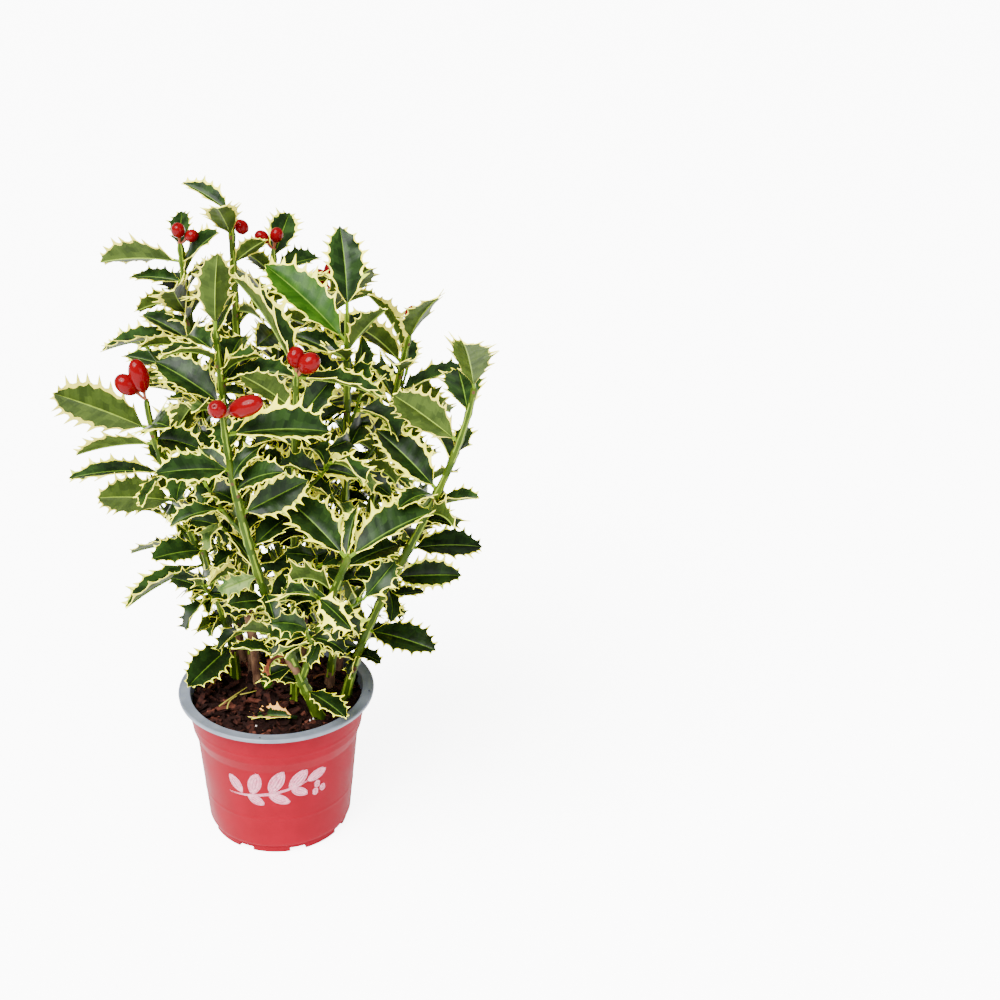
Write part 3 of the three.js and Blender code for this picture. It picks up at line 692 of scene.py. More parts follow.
def seeded_leaf(mass, number, draw, small=1.0):
    """The leaf at one place on the spiral, counted from the tip down."""
    shoot = mass.shoot
    shift = shifts(draw, LEAF_SHIFTS)
    leafy = (point_on(shoot, 1) - point_on(shoot, mass.start)).length
    down = (number + FIRST_LEAF) * LEAF_SPACING * shoot.get("spacing", 1) / leafy
    if down > 1:
        return None
    size = mix(1, LOW_LEAF_SIZE, min(down * SIZE_FALL, 1)) * (1 + shift["size"])
    small *= FORK_LEAF_SIZE if "fork" in shoot else 1
    root = point_on(shoot, mix(1, mass.start, down))
    return dict(root=root, light=light_at(root), length=LEAF_LENGTH * size * small, age=1 - down,
                azimuth=shoot["seed"] + number * SPIRAL + shift["azimuth"],
                rise=mix(TOP_RISE, LOW_RISE, min(down * RISE_FALL, 1)) + shift["rise"],
                roll=mix(TOP_TURN, LOW_TURN, down) * shift["roll"], curl=CURL + shift["curl"],
                teeth=SMALL_TEETH if down > FEW_TEETH_FROM else TEETH)


def set_leaf(root, azimuth, rise, length, roll, age, curl=CHOSEN_CURL, **rest):
    """A listed leaf, with its angles in degrees."""
    return dict(root=root, light=SKY, azimuth=math.radians(azimuth), rise=math.radians(rise), length=length,
                roll=math.radians(roll), curl=curl, teeth=TEETH, age=age, chosen=True, **rest)


def chosen_leaf(mass, values):
    """A chosen leaf of a shoot, from its row in the shoot's list."""
    share, *place = values
    return set_leaf(point_on(mass.shoot, mix(mass.start, 1, share)), *place, age=share)


def twig_path(root, out, length):
    """The run of a side twig, which arches up towards its end."""
    return lambda s: root + out * (s * length) + Vector((0, 0, TWIG_ARCH * s * s))


def grow_twig(mass, fixed, number, count, draw, leaves, allowed=lambda leaf: True):
    """A short side twig with its own spiral of small leaves."""
    shoot = mass.shoot
    shift = shifts(draw, TWIG_SHIFTS)
    share = mix(mass.start, 1, TWIGS_FROM + TWIGS_OVER * (number + 0.5) / count)
    azimuth = shoot["seed"] * 2 + number * SPIRAL + shift["azimuth"]
    root, out = point_on(shoot, share), direction_of(azimuth, TWIG_RISE + shift["rise"])
    length = TWIG_LENGTH * (1 + shift["length"])
    point_at = twig_path(root, out, length)

    def tube(extra):
        return rough_tube(point_at, lambda s: mix(TWIG_RADIUS, TWIG_TIP_RADIUS, s) + extra, TWIG_STEPS)

    body = Body(tube(CLEARANCE))
    clear = body.clear_of(fixed) and all(other is mass or body.clear_of(other.bodies) for other in masses)
    if clear:
        mass.keep(tube)
        mass.twigs.append((root, out, length))
    for i in range(leaves):
        shift = shifts(draw, TWIG_LEAF_SHIFTS)
        if not clear:
            continue
        leaf_root = point_at(1 - TWIG_LEAF_PART * i / leaves)
        leaf = dict(root=leaf_root, light=light_at(leaf_root),
                    azimuth=azimuth + i * SPIRAL + shift["azimuth"],
                    rise=mix(*TWIG_LEAF_RISES, i / leaves) + shift["rise"],
                    length=LEAF_LENGTH * mix(*TWIG_LEAF_SIZES, share) * (1 + shift["size"]),
                    roll=shift["roll"], curl=TWIG_CURL, teeth=SMALL_TEETH,
                    age=TWIG_LEAF_AGE + TWIG_LEAF_AGEING * share)
        if allowed(leaf):
            add_leaf(mass, fixed, leaf)


def berry_of(shoot, values):
    """Where a berry hangs: its stalk's root, its direction, its centre and its half sizes."""
    azimuth, rise, size, stalk = (*values, STALK_LENGTH)[:4]
    out = direction_of(math.radians(azimuth), math.radians(rise))
    root = point_on(shoot, 1) - out * STALK_DEPTH
    half_width = BERRY_WIDTH * min(size, BERRY_LENGTH) / BERRY_LENGTH / 2 + BERRY_FULLNESS
    return dict(root=root, out=out, centre=root + out * (stalk + size / 2), half=size / 2, width=half_width)


def rough_berry(berry, extra):
    """A seven-sided stand-in for a berry."""
    half, wide = berry["half"] + extra, berry["width"] + extra
    return rough_tube(lambda s: berry["centre"] + berry["out"] * (half * (2 * s - 1)),
                      lambda s: wide * math.sqrt(max(1 - (2 * s - 1) ** 2, BERRY_END)),
                      BERRY_STEPS, BERRY_SIDES)


def rough_ground():
    """The pot and its filling, as one drum that no leaf enters."""
    return rough_tube(lambda s: Vector((0, 0, s * (POT_HEIGHT + GROUND_MARGIN))),
                      lambda s: LIP_RADIUS + GROUND_MARGIN, steps=1, sides=GROUND_SIDES)


# %% Growing the shoots
fixed_bodies = [Body(rough_ground())]
fixed_bodies += [Body(rough_stretch(shoot, 0, shoot["bare"], CLEARANCE, STEM_STEPS)) for shoot in SHOOTS]
masses = [Mass(shoot) for shoot in SHOOTS]
MASS_NAMED = {mass.shoot["name"]: mass for mass in masses}
for mass in masses:
    for values in mass.shoot["berries"]:
        berry = berry_of(mass.shoot, values)
        mass.berries.append(berry)
        mass.keep(lambda extra: rough_berry(berry, extra))
room = list(fixed_bodies)
for mass in masses:
    for values in mass.shoot["leaves"]:
        leaf = chosen_leaf(mass, values)
        if add_leaf(mass, fixed_bodies, leaf):
            room.append(Body(rough_leaf(leaf, AIR, FREE_FROM)))
        else:
            print("no room for", mass.shoot["name"], values)
for number in range(MOST_LEAVES):
    for mass in masses:
        leaf = seeded_leaf(mass, number, mass.random)
        if leaf:
            add_leaf(mass, room, leaf)
for mass in masses:
    for number in range(mass.shoot["twigs"]):
        grow_twig(mass, room, number, mass.shoot["twigs"], mass.random, TWIG_LEAVES)
print("leaves by the frame's rule:", sum(len(mass.leaves) for mass in masses))

# %% [markdown]
# ## The finer growth
# The frame keeps only as many leaves as its solids can carry. The real plant has more than twice as many:
# more leaves between the others on each shoot, and many short side twigs with small curled leaves low down
# and inside. They grow by the same rule, from other seeds, wherever there is still room.

# %% More leaves and finer twigs
FINE_SEED = 500
# Each row: how far the finer leaves sit past a place of the spiral, and their size.
FINE_ROUNDS = [(0.5, 0.9), (0.25, 0.7), (0.75, 0.6)]
FINE_TWIGS = 7
OPEN_SHOOT_TWIGS = 1
FINE_TWIG_OFFSET = 0.3
FINE_TWIG_LEAVES = 6
OVERHANG = 3.0
SHORTEST = 15.5
reach_low = np.array(cad_box[0]) / MM - OVERHANG
reach_high = np.array(cad_box[1]) / MM + OVERHANG


def within_reach(leaf):
    """True where a leaf's tip stays inside the frame's own reach."""
    tip = np.array(leaf_point(leaf, leaf_frame(leaf), 1, 0, 0))
    return bool((tip > reach_low).all() and (tip < reach_high).all())


def wanted(leaf):
    """True for a finer leaf that isn't too small to tell and stays within the reach."""
    return leaf["length"] > SHORTEST and within_reach(leaf)


for offset, small in FINE_ROUNDS:
    draws = [random_from(mass.shoot["seed"] + int(FINE_SEED * (1 + offset))) for mass in masses]
    for number in range(MOST_LEAVES):
        for mass, draw in zip(masses, draws):
            leaf = seeded_leaf(mass, number + offset, draw, small)
            if leaf and wanted(leaf):
                add_leaf(mass, room, leaf)
for mass in masses:
    draw = random_from(mass.shoot["seed"] + 3 * FINE_SEED)
    twigs = OPEN_SHOOT_TWIGS if "spacing" in mass.shoot else FINE_TWIGS
    for number in range(twigs):
        grow_twig(mass, room, number + FINE_TWIG_OFFSET, twigs, draw, FINE_TWIG_LEAVES, wanted)
print("leaves with the finer growth:", sum(len(mass.leaves) for mass in masses))

# %% Low leaves, listed one by one
# Each row: shoot, share of the whole shoot, azimuth, rise, length, roll, and whether it is a curly one.
LOW_LEAVES = [
    ("left", 0.12, 245, 0, 44, -25, False), ("left", 0.22, 225, 10, 26, 95, True),
    ("left", 0.3, 320, 10, 28, 10, False), ("front", 0.32, 200, 30, 30, 70, True),
    ("front", 0.25, 200, 30, 36, -5, True), ("front", 0.15, 205, 35, 26, -20, False),
    ("front", 0.12, 320, 5, 34, 0, False), ("front", 0.39, 75, 35, 38, -20, False),
    ("fork_right", 0.35, 225, 20, 24, 5, True), ("right", 0.23, 215, 25, 32, 5, False),
    ("right", 0.15, 330, 40, 18, 0, True), ("right", 0.14, 235, 55, 30, -55, True),
    ("inner_front", 0.14, 220, 50, 28, -40, False), ("rear", 0.1, 150, 35, 34, 0, False),
    ("back", 0.09, 60, 20, 38, 0, False), ("back_left", 0.08, 130, 15, 40, 10, False),
    ("rear_right", 0.1, 20, 20, 36, 0, False),
]
for name, share, azimuth, rise, length, roll, curly in LOW_LEAVES:
    mass = MASS_NAMED[name]
    length += radius_on(mass.shoot, share)
    leaf = set_leaf(point_on(mass.shoot, share), azimuth, rise, length, roll, age=0)
    leaf["chosen"] = not curly
    mass.leaves.append(leaf)
print("side twigs:", sum(len(mass.twigs) for mass in masses))

# %% [markdown]
# ## The leaf
# A holly leaf is a stiff blade, folded along its midrib and curled down at the tip. Its margin runs in deep
# bays between sharp spines, and the spines point up and down in turn. The blade swells between its side
# veins. One template grid is made for each number of spines, with a column of edges along the line where the
# green meets the cream. It is made solid, so that the paler underside is a real face, and bent to every leaf.

# %% The template grid
HALF_COLUMNS = 5
ROWS_PER_TOOTH = 4
PETIOLE_ROWS = 3


class LeafTemplate:
    """A solid grid with its rows, columns and faces as arrays."""

    def __init__(self, teeth):
        self.teeth = teeth
        self.rows = PETIOLE_ROWS + teeth * ROWS_PER_TOOTH
        columns = 2 * HALF_COLUMNS
        shape = bmesh.new()
        bmesh.ops.create_grid(shape, x_segments=self.rows, y_segments=columns, size=1)
        bmesh.ops.solidify(shape, geom=shape.faces[:], thickness=0.1)
        bmesh.ops.recalc_face_normals(shape, faces=shape.faces[:])
        place = np.array([vert.co for vert in shape.verts])
        self.row = np.rint((place[:, 0] + 1) / 2 * self.rows).astype(int)
        self.column = np.rint((place[:, 1] + 1) / 2 * columns).astype(int) - HALF_COLUMNS
        self.top = place[:, 2] > place[:, 2].mean()
        self.faces = np.array([[vert.index for vert in face.verts] for face in shape.faces])
        shape.free()
        face_top = self.top[self.faces].sum(1)
        self.face_side = np.where(face_top == 4, 1, np.where(face_top == 0, -1, 0))
        self.face_row = self.row[self.faces].min(1)
        self.face_column = np.abs(self.column[self.faces]).max(1)


TEMPLATES = {teeth: LeafTemplate(teeth) for teeth in (3, 4, 5, 6, 7, 8)}
print("quads in a leaf with 7 spines a side:", len(TEMPLATES[7].faces))

# %% Where each row of a leaf lies
STALK_PLACES = (-0.02, 0.04, PETIOLE * 0.92)
TIP_PLACE = 1.02
TIP_SHARE = 0.12  # what the tip takes, counted in teeth
TOOTH_STEPS = (0.22, 0.54, 0.78, 0.94)
TOOTH_WIDTHS = (0.82, 0.87, 1.0, 0.86)
TOOTH_WAVES = (0.0, 0.45, 1.0, 0.50)
SPINE_STEP = 2
SPINE_RANGE = (0.6, 1.25)
WAVE_RANGE = (0.6, 1.3)
WAVE_UP, WAVE_DOWN = 1, -0.8


def leaf_rows(template, bay, draw):
    """Each row's place along the leaf and width share, and on either side its spine's length and its wave."""
    along = np.empty(template.rows + 1)
    width = np.empty(template.rows + 1)
    along[:PETIOLE_ROWS] = STALK_PLACES
    width[:PETIOLE_ROWS] = 0
    spine = np.zeros((2, template.rows + 1))
    wave = np.zeros((2, template.rows + 1))
    pitch = 1 / (template.teeth + TIP_SHARE)
    for tooth in range(template.teeth):
        for step in range(ROWS_PER_TOOTH):
            row = PETIOLE_ROWS + tooth * ROWS_PER_TOOTH + step
            along[row] = mix(PETIOLE, 1, (tooth + TOOTH_STEPS[step]) * pitch)
            width[row] = TOOTH_WIDTHS[step] ** bay * blade_width(along[row])
    for half in range(2):
        for tooth in range(template.teeth):
            first = PETIOLE_ROWS + tooth * ROWS_PER_TOOTH
            spine[half, first + SPINE_STEP] = mix(*SPINE_RANGE, draw())
            side = (WAVE_UP if (tooth + half) % 2 else WAVE_DOWN) * mix(*WAVE_RANGE, draw())
            wave[half, first:first + ROWS_PER_TOOTH] = side * np.array(TOOTH_WAVES)
    along[-1], width[-1] = TIP_PLACE, 0.0
    return along, width, spine, wave


def at_spine(row):
    """True for the rows whose edge is drawn out into a spine."""
    return (row - PETIOLE_ROWS) % ROWS_PER_TOOTH == SPINE_STEP


# %% Where the green ends
COLUMN_SHARES = np.array([0.0, 0.032, 0.36, 0.66, 0.84, 1.0])
MARGIN_COLUMN = 4
MARGIN_WANDER = 0.11
MARGIN_DRIFT = 0.13
MARGIN_AT_SPINE, MARGIN_IN_BAY = -0.02, 0.09
MARGIN_LOW, MARGIN_HIGH = 0.3, 0.97


def margin_line(border, rows, draw):
    """For either side and each row, the share of the width where the green meets the cream."""
    line = border + np.array([[mix(-MARGIN_WANDER, MARGIN_WANDER, draw()) for _ in range(rows)]
                              for _ in range(2)])
    line[:, 1:-1] = (line[:, :-2] + 2 * line[:, 1:-1] + line[:, 2:]) / 4
    line += np.outer([mix(-MARGIN_DRIFT, MARGIN_DRIFT, draw()) for _ in range(2)], np.linspace(-1, 1, rows))
    line += np.where(at_spine(np.arange(rows)), MARGIN_AT_SPINE, MARGIN_IN_BAY)
    return np.clip(line, MARGIN_LOW, MARGIN_HIGH)


# %% Bending the template to one leaf
VEIN_SWEEP = 0.085
SPINE_SWEEP = 0.03
SPINE_FROM = 0.6
VEIN_DIP, VEIN_SWELL = -1.0, 0.7
PUFF = 0.0016
BLADE_THICKNESS = 0.45
STALK_THICKNESS = 1.3
RIB_DEPTH = 0.5
PETIOLE_WIDTH = 0.95
TIP_WIDTH = 0.12


def bent_leaf(leaf, draw):
    """The positions of a leaf's points, in millimetres."""
    template, length, curl = TEMPLATES[leaf["spines"]], leaf["length"], leaf["curl"]
    along, width, spine, wave = leaf_rows(template, leaf["bay"], draw)
    margin = margin_line(leaf["border"], template.rows + 1, draw)
    row, column = template.row, np.abs(template.column)
    half = (template.column > 0).astype(int)
    along, width, spine, wave = along[row], width[row], spine[half, row], wave[half, row]
    bare = width <= 0
    shares = np.where(column == MARGIN_COLUMN, margin[half, row], COLUMN_SHARES[column])
    swell = np.sin(np.pi * np.clip((along - PETIOLE) / (1 - PETIOLE), 0, 1))
    edge = np.clip((shares - SPINE_FROM) / (1 - SPINE_FROM), 0, 1)
    stalk = PETIOLE_WIDTH * bare * np.where(along > 0.9, TIP_WIDTH, 1)
    across = np.maximum(length * LEAF_WIDTH * leaf["broad"] * width, stalk) * shares
    across = across + spine * leaf["spine"] * length * edge ** 2
    place = along + VEIN_SWEEP * shares * swell + SPINE_SWEEP * spine * edge
    vein = np.where(at_spine(row), VEIN_DIP, VEIN_SWELL)
    puff = PUFF * length * vein * swell * ((column > 0) & (column <= MARGIN_COLUMN))
    lift = across * math.tan(leaf["fold"]) + wave * leaf["wave"] * length * edge ** 1.5 + puff
    thickness = np.where(bare, STALK_THICKNESS, BLADE_THICKNESS)
    rib = np.where((column == 0) & ~bare, RIB_DEPTH, 0.0)
    lift = np.where(template.top, lift + thickness / 2 - rib / 2, lift - thickness / 2 - rib)
    twist = leaf["twist"] * np.clip(place, 0, 1)
    level = across * np.sign(template.column)
    level, lift = (level * np.cos(twist) - lift * np.sin(twist), level * np.sin(twist) + lift * np.cos(twist))
    out, up, side = (np.array(axis) for axis in leaf_frame(leaf))
    reach = length / curl * np.sin(curl * place) + lift * np.sin(curl * place)
    drop = length / curl * (np.cos(curl * place) - 1) + lift * np.cos(curl * place)
    return np.array(leaf["root"]) + reach[:, None] * out + drop[:, None] * up + level[:, None] * side


# %% [markdown]
# ## Leaf colours
# The middle of the blade is dark and glossy with lighter patches, the margin is cream, the midrib a thin pale
# line, and the underside a flat olive. Young leaves at the tips are brighter, old ones darker, and a few
# small ones a greyer sage. Each face of the grid takes one plain colour from a short ramp, by its place and
# by noise.

# %% Leaf materials
LEAF_GLOSS = 0.30
LEAF_SHINE = 0.08
RAMP_STEPS = 4
# The darkest and lightest colour and the roughness of each kind of blade.
BLADES = {
    "old": ((9, 20, 4), (21, 38, 11), LEAF_GLOSS),
    "grown": ((12, 26, 6), (29, 48, 16), LEAF_GLOSS),
    "young": ((24, 53, 5), (42, 73, 11), 0.34),
    "sage": ((40, 62, 25), (94, 112, 54), 0.4),
    "under": ((38, 52, 13), (56, 72, 22), 0.55),
    "dry": ((52, 20, 10), (112, 56, 30), 0.7),
}
TRIM = {
    "margin_cream": ((244, 237, 42), 0.42),
    "margin_pale": ((250, 248, 82), 0.42),
    "margin_lime": ((168, 186, 40), 0.42),
    "margin_faded": ((222, 158, 78), 0.5),
    "leaf_rib": ((84, 112, 34), 0.40),
    "under_rib": ((112, 134, 42), 0.50),
    "under_margin": ((208, 200, 68), 0.55),
    "leaf_stalk": ((86, 112, 12), 0.45),
}
# The blade that each tone of leaf takes, and its margin.
TONES = {
    "old": ("old", "margin_cream"), "grown": ("grown", "margin_cream"), "young": ("young", "margin_cream"),
    "sage": ("sage", "margin_cream"), "fallen": ("old", "margin_faded"), "dry": ("dry", None),
    "sprout": ("young", None),
}


def between(low, high, share):
    """A screen colour between two others."""
    return tuple(mix(a, b, share) for a, b in zip(low, high))


leaf_materials, COLOUR = [], {}
for name, (low, high, roughness) in BLADES.items():
    COLOUR[name] = len(leaf_materials)
    leaf_materials += [plain_material(f"leaf_{name}_{step}", between(low, high, step / (RAMP_STEPS - 1)),
                                      roughness, LEAF_SHINE) for step in range(RAMP_STEPS)]
for name, (colour, roughness) in TRIM.items():
    COLOUR[name] = len(leaf_materials)
    leaf_materials.append(plain_material(name, colour, roughness, LEAF_SHINE))
print("leaf colours:", len(leaf_materials))

# %% Dealing out the leaf colours
PATCH_SIZE = 0.16
PATCH_LEVEL = 0.45
PATCH_DEPTH = 0.9
SPECKLE = 0.14
VEIN_LIGHT = 0.12
EDGE_LIGHT = 0.18
PALE_MARGIN_ABOVE = 0.6
LIME_MARGIN_BELOW = 0.12


def face_colours(leaf, positions, draw):
    """The colour number of each face of a leaf."""
    template = TEMPLATES[leaf["spines"]]
    blade, rim = TONES[leaf["tone"]]
    centre = positions[template.faces].mean(1)
    shift = Vector((draw() * 100, 0, 0))
    cloud = np.array([noise.noise(Vector(place) * PATCH_SIZE + shift) for place in centre])
    chance = np.array([draw() for _ in centre])
    column, row = template.face_column, template.face_row
    level = (PATCH_LEVEL + PATCH_DEPTH * cloud + SPECKLE * (chance - 0.5) + VEIN_LIGHT * at_spine(row)
             + EDGE_LIGHT * (column == MARGIN_COLUMN))
    step = np.clip(level * RAMP_STEPS, 0, RAMP_STEPS - 1).astype(int)
    under = template.face_side < 0
    plain = rim is None
    colours = np.where(under & (not plain), COLOUR["under"], COLOUR[blade]) + step
    colours[column == 1] = np.where(under, COLOUR["under_rib"], COLOUR["leaf_rib"])[column == 1]
    if not plain:
        margin = column > MARGIN_COLUMN
        colours[margin] = COLOUR[rim]
        if rim == "margin_cream":
            colours[margin & (chance > PALE_MARGIN_ABOVE)] = COLOUR["margin_pale"]
            colours[margin & (chance < LIME_MARGIN_BELOW)] = COLOUR["margin_lime"]
        colours[under & margin] = COLOUR["under_margin"]
        colours[template.face_side == 0] = COLOUR["margin_pale"]
    colours[row < PETIOLE_ROWS - 1] = COLOUR["leaf_stalk" if rim == "margin_cream" else blade]
    return colours


# %% What each leaf is like
# For small and large leaves: the spines on a side above each length, what all of them share, and the ranges
# that their seeded numbers are drawn from.
LEAF_KINDS = {
    "small": dict(spines=((26, 4), (0, 3)), shared=dict(spine=0.082, wave=0.06, bay=1.75),
                  drawn=dict(fold=(0.3, 0.8), twist=(-0.8, 0.8), broad=(0.84, 1.10), border=(0.78, 0.95))),
    "large": dict(spines=((52, 8), (42, 7), (33, 6), (0, 5)), shared=dict(spine=0.036, wave=0.026, bay=1.35),
                  drawn=dict(fold=(0.22, 0.52), twist=(-0.35, 0.35), broad=(0.86, 1.06),
                             border=(0.70, 0.90))),
}
SMALL_LEAF = 33.0
LARGE_LEAF = 60.0
LARGE_LEAF_BREADTH = 0.87
EXTRA_CURL = 0.9
PALE_CHANCE = 0.08
PALE_BORDER = (0.5, 0.75)
YOUNG_ABOVE, GROWN_ABOVE = 1.2, 0.45
YOUNG_LENGTH = 69
SAGE_CHANCE = 0.12


def dress_leaf(leaf, draw):
    """Adds what the fine leaf needs: spines, folds, breadth and tone. Small leaves are like curly stars."""
    length = leaf["length"]
    small = length < SMALL_LEAF and not leaf.get("chosen")
    kind = LEAF_KINDS["small" if small else "large"]
    leaf.update(kind["shared"], spines=next(count for above, count in kind["spines"] if length > above))
    for name, (low, high) in kind["drawn"].items():
        leaf[name] = mix(low, high, draw())
    if small:
        leaf["curl"] += mix(0, EXTRA_CURL, draw())
    elif length > LARGE_LEAF:
        leaf["broad"] *= LARGE_LEAF_BREADTH
    if draw() < PALE_CHANCE:
        leaf["border"] *= mix(*PALE_BORDER, draw())
    ripeness = leaf["age"] + 0.5 * (draw() - 0.5)
    if "tone" in leaf:
        return
    young = ripeness > YOUNG_ABOVE or length > YOUNG_LENGTH
    leaf["tone"] = "young" if young else "grown" if ripeness > GROWN_ABOVE else "old"
    if small and draw() < SAGE_CHANCE:
        leaf["tone"] = "sage"


# %% Making the leaf pieces
LEAF_GROUPS = {
    "leaves_front": ("front", "fork_right"),
    "leaves_left": ("left", "fork_left"),
    "leaves_right": ("right", "fork_back"),
    "leaves_middle": ("inner_front", "middle"),
    "leaves_rear_left": ("rear_left", "tall"),
    "leaves_rear_right": ("inner_right", "rear_right"),
    "leaves_rear": ("rear", "back_left"),
    "leaves_back": ("back",),
}
DRESS_SEED = 7
LEAF_SHARP = math.radians(62)


def joined_mesh(name, positions, faces, colours):
    """One mesh from many, with a colour number on each face."""
    data = bpy.data.meshes.new(name)
    points = np.concatenate(positions) * MM
    offsets = np.cumsum([0] + [len(part) for part in positions[:-1]])
    quads = np.concatenate([part + offset for part, offset in zip(faces, offsets)])
    data.vertices.add(len(points))
    data.vertices.foreach_set("co", points.astype(np.float32).ravel())
    data.loops.add(quads.size)
    data.loops.foreach_set("vertex_index", quads.astype(np.int32).ravel())
    data.polygons.add(len(quads))
    data.polygons.foreach_set("loop_start", np.arange(0, quads.size, 4, dtype=np.int32))
    data.polygons.foreach_set("material_index", np.concatenate(colours).astype(np.int32))
    data.update(calc_edges=True)
    data.validate()
    return data


def make_leaves(name, grown, nodes):
    """One piece from leaves, each with the seeded numbers that it draws from."""
    positions, faces, colours = [], [], []
    for leaf, draw in grown:
        dress_leaf(leaf, draw)
        positions.append(bent_leaf(leaf, draw))
        faces.append(TEMPLATES[leaf["spines"]].faces)
        colours.append(face_colours(leaf, positions[-1], draw))
    data = joined_mesh(name, positions, faces, colours)
    finish_mesh(name, data, leaf_materials, nodes, sharp=LEAF_SHARP)


for name, shoots in LEAF_GROUPS.items():
    grown = []
    for mass in masses:
        if mass.shoot["name"] in shoots:
            draw = random_from(mass.shoot["seed"] + DRESS_SEED)
            grown += [(leaf, draw) for leaf in mass.leaves]
    make_leaves(name, grown, [f"foliage_{shoot}" for shoot in shoots])

# %% Fallen leaves and a sprout
LOOSE_SEED = 311
# Each row: root, azimuth, rise, length, roll, curl and tone.
LOOSE_LEAVES = [
    ((17, -32, 99), 168, 1, 34, -4, 0.4, "fallen"),
    ((15, -45, 153), 185, 15, 21, 60, 2.0, "dry"),
    ((13, -44, 151), 160, -10, 13, -50, 2.4, "dry"),
    ((-12, 4, 96), 20, 35, 11, 20, 0.9, "sprout"),
    ((-12, 4, 96), 80, 45, 9, -30, 0.9, "sprout"),
    ((-30, 30, 97), 60, 0, 26, 10, 0.9, "dry"),
]
draw = random_from(LOOSE_SEED)
make_leaves("leaves_loose", [(set_leaf(Vector(root), *place, age=0.5, curl=curl, tone=tone), draw)
                             for root, *place, curl, tone in LOOSE_LEAVES], [])

# %% [markdown]
# ## Stems and twigs
# A holly shoot is green and ridged, and it swells where a leaf sits. A pale line down each ridge crest is a
# painted highlight. Low down some shoots have turned brown and woody. A plain tube is bent along each shoot,
# and its surface is pushed in and out by those ridges and swellings. The side twigs are thinner tubes.

# %% The tube template
def tube_shape(shape, sides, steps, place):
    """Adds a closed tube to a bmesh and returns its faces, numbered round it by the layer "strip".

    place(share, turn) gives each point of its wall.
    """
    strip = shape.faces.layers.int.get("strip") or shape.faces.layers.int.new("strip")
    verts = bmesh.ops.create_grid(shape, x_segments=steps, y_segments=sides, size=1)["verts"]
    for face in {face for vert in verts for face in vert.link_faces}:
        face[strip] = int((face.calc_center_median().y + 1) / 2 * sides)
    for vert in verts:
        turn = round((vert.co.y + 1) / 2 * sides) % sides / sides * 2 * math.pi
        vert.co = place((vert.co.x + 1) / 2, turn)
    bmesh.ops.remove_doubles(shape, verts=verts, dist=1e-4)
    ends = {edge for vert in verts if vert.is_valid for edge in vert.link_edges if edge.is_boundary}
    bmesh.ops.holes_fill(shape, edges=list(ends), sides=0)
    return {face for vert in verts if vert.is_valid for face in vert.link_faces}


def path_place(point_at, radius_at):
    """Places points round a path, at a radius that may change with the turn."""
    def place(share, turn):
        across, third = section_frame(point_at, share)
        return point_at(share) + (across * math.cos(turn) - third * math.sin(turn)) * radius_at(share, turn)
    return place


# %% Stem finish
STEM_GREEN = (38, 57, 7)
STEM_OLIVE = (58, 74, 12)
# The pale colour of the ridge crests is a painted highlight.
STEM_CREST_HIGHLIGHT = (104, 124, 32)
WOOD_DARK = (56, 36, 26)
WOOD_PALE = (98, 72, 52)
STEM_SCAR = (72, 48, 30)
stem_materials = [
    patterned_material("stem_bark", (STEM_GREEN, STEM_OLIVE), (160, 0.42, 0.62), (900, 0.0004, 0.4),
                       (0.42, 0.55), stretch=(1, 1, 0.3), specular=0.08),
    plain_material("stem_scar", STEM_SCAR, 0.6, 0.1),
    patterned_material("stem_wood", (WOOD_DARK, WOOD_PALE), (240, 0.36, 0.60), (520, 0.0008, 0.7),
                       (0.6, 0.75), stretch=(1, 1, 0.3), specular=0.08),
    plain_material("stem_crest_highlight", STEM_CREST_HIGHLIGHT, 0.5, 0.08),
]
SCAR, WOOD, CREST_HIGHLIGHT = 1, 2, 3

# %% The surface of a shoot
RIDGES = 5
RIDGE_HEIGHT = 0.10
SWELLING = 0.28
SWELL_LENGTH = 2.2
LUMP_HEIGHT, LUMPS_ROUND, LUMPS_ALONG = 0.14, 3, 0.22
TIP_LENGTH, TIP_SHARPNESS = 4, 0.35
STEM_ROUND = 15
BARK = 0.3


def shoot_surface(mass):
    """The shoot's radius at a share and turn, with ridges, faint lumps and a swelling at each leaf."""
    shoot = mass.shoot
    base = foot_of(shoot)
    length = (point_on(shoot, 1) - base).length
    sites = np.array([(leaf["root"] - base).length for leaf in mass.leaves])

    def radius_at(share, turn):
        swell = np.exp(-((sites - share * length) / SWELL_LENGTH) ** 2).max()
        ridge = RIDGE_HEIGHT * math.cos(RIDGES * (turn - math.pi / STEM_ROUND))
        along = point_on(shoot, share).z * LUMPS_ALONG + shoot["seed"]
        round_it = (LUMPS_ROUND * math.cos(turn), LUMPS_ROUND * math.sin(turn))
        lump = LUMP_HEIGHT * noise.noise(Vector((*round_it, along)))
        close = min(1.0, (1 - share) * length / TIP_LENGTH + TIP_SHARPNESS)
        return (radius_on(shoot, share) + BARK) * (1 + SWELLING * swell + ridge + lump) * close

    return radius_at


# %% Shoots, side twigs and old cut ends
STEM_RING_EVERY = 2.2
HIGHLIGHT_GAPS = -0.15
BURIED = 3.0
# The heights between which a shoot has turned brown and woody.
WOODY_PARTS = {"left": (112, 140), "middle": (88, 182), "rear_left": (88, 128), "rear": (88, 140),
               "tall": (88, 112), "inner_right": (88, 108), "back": (88, 150), "back_left": (88, 130),
               "rear_right": (88, 118)}
WOODY_EDGE = 6.0
HIGHLIGHT_PATCHES, WOODY_PATCHES, SCAR_PATCHES = 0.08, 0.5, 0.6  # how closely the noise of each varies
FINE_TWIG_TIP = 0.8
TWIG_WAVE, TWIG_WIND = 0.08, 9  # how high a twig's three ridges are, and how far they wind round it
TWIG_SIZE, STUB_SIZE = (8, 10), (12, 12)  # points round a tube and steps along it
STUB_LUMP, STUB_LUMPS = 0.12, 7  # how high the lumps of an old cut end are, and how close
STUB_CLOSE, STUB_CLOSE_FROM, STUB_CLOSE_OVER = 0.25, 0.85, 0.15  # how it narrows at its end
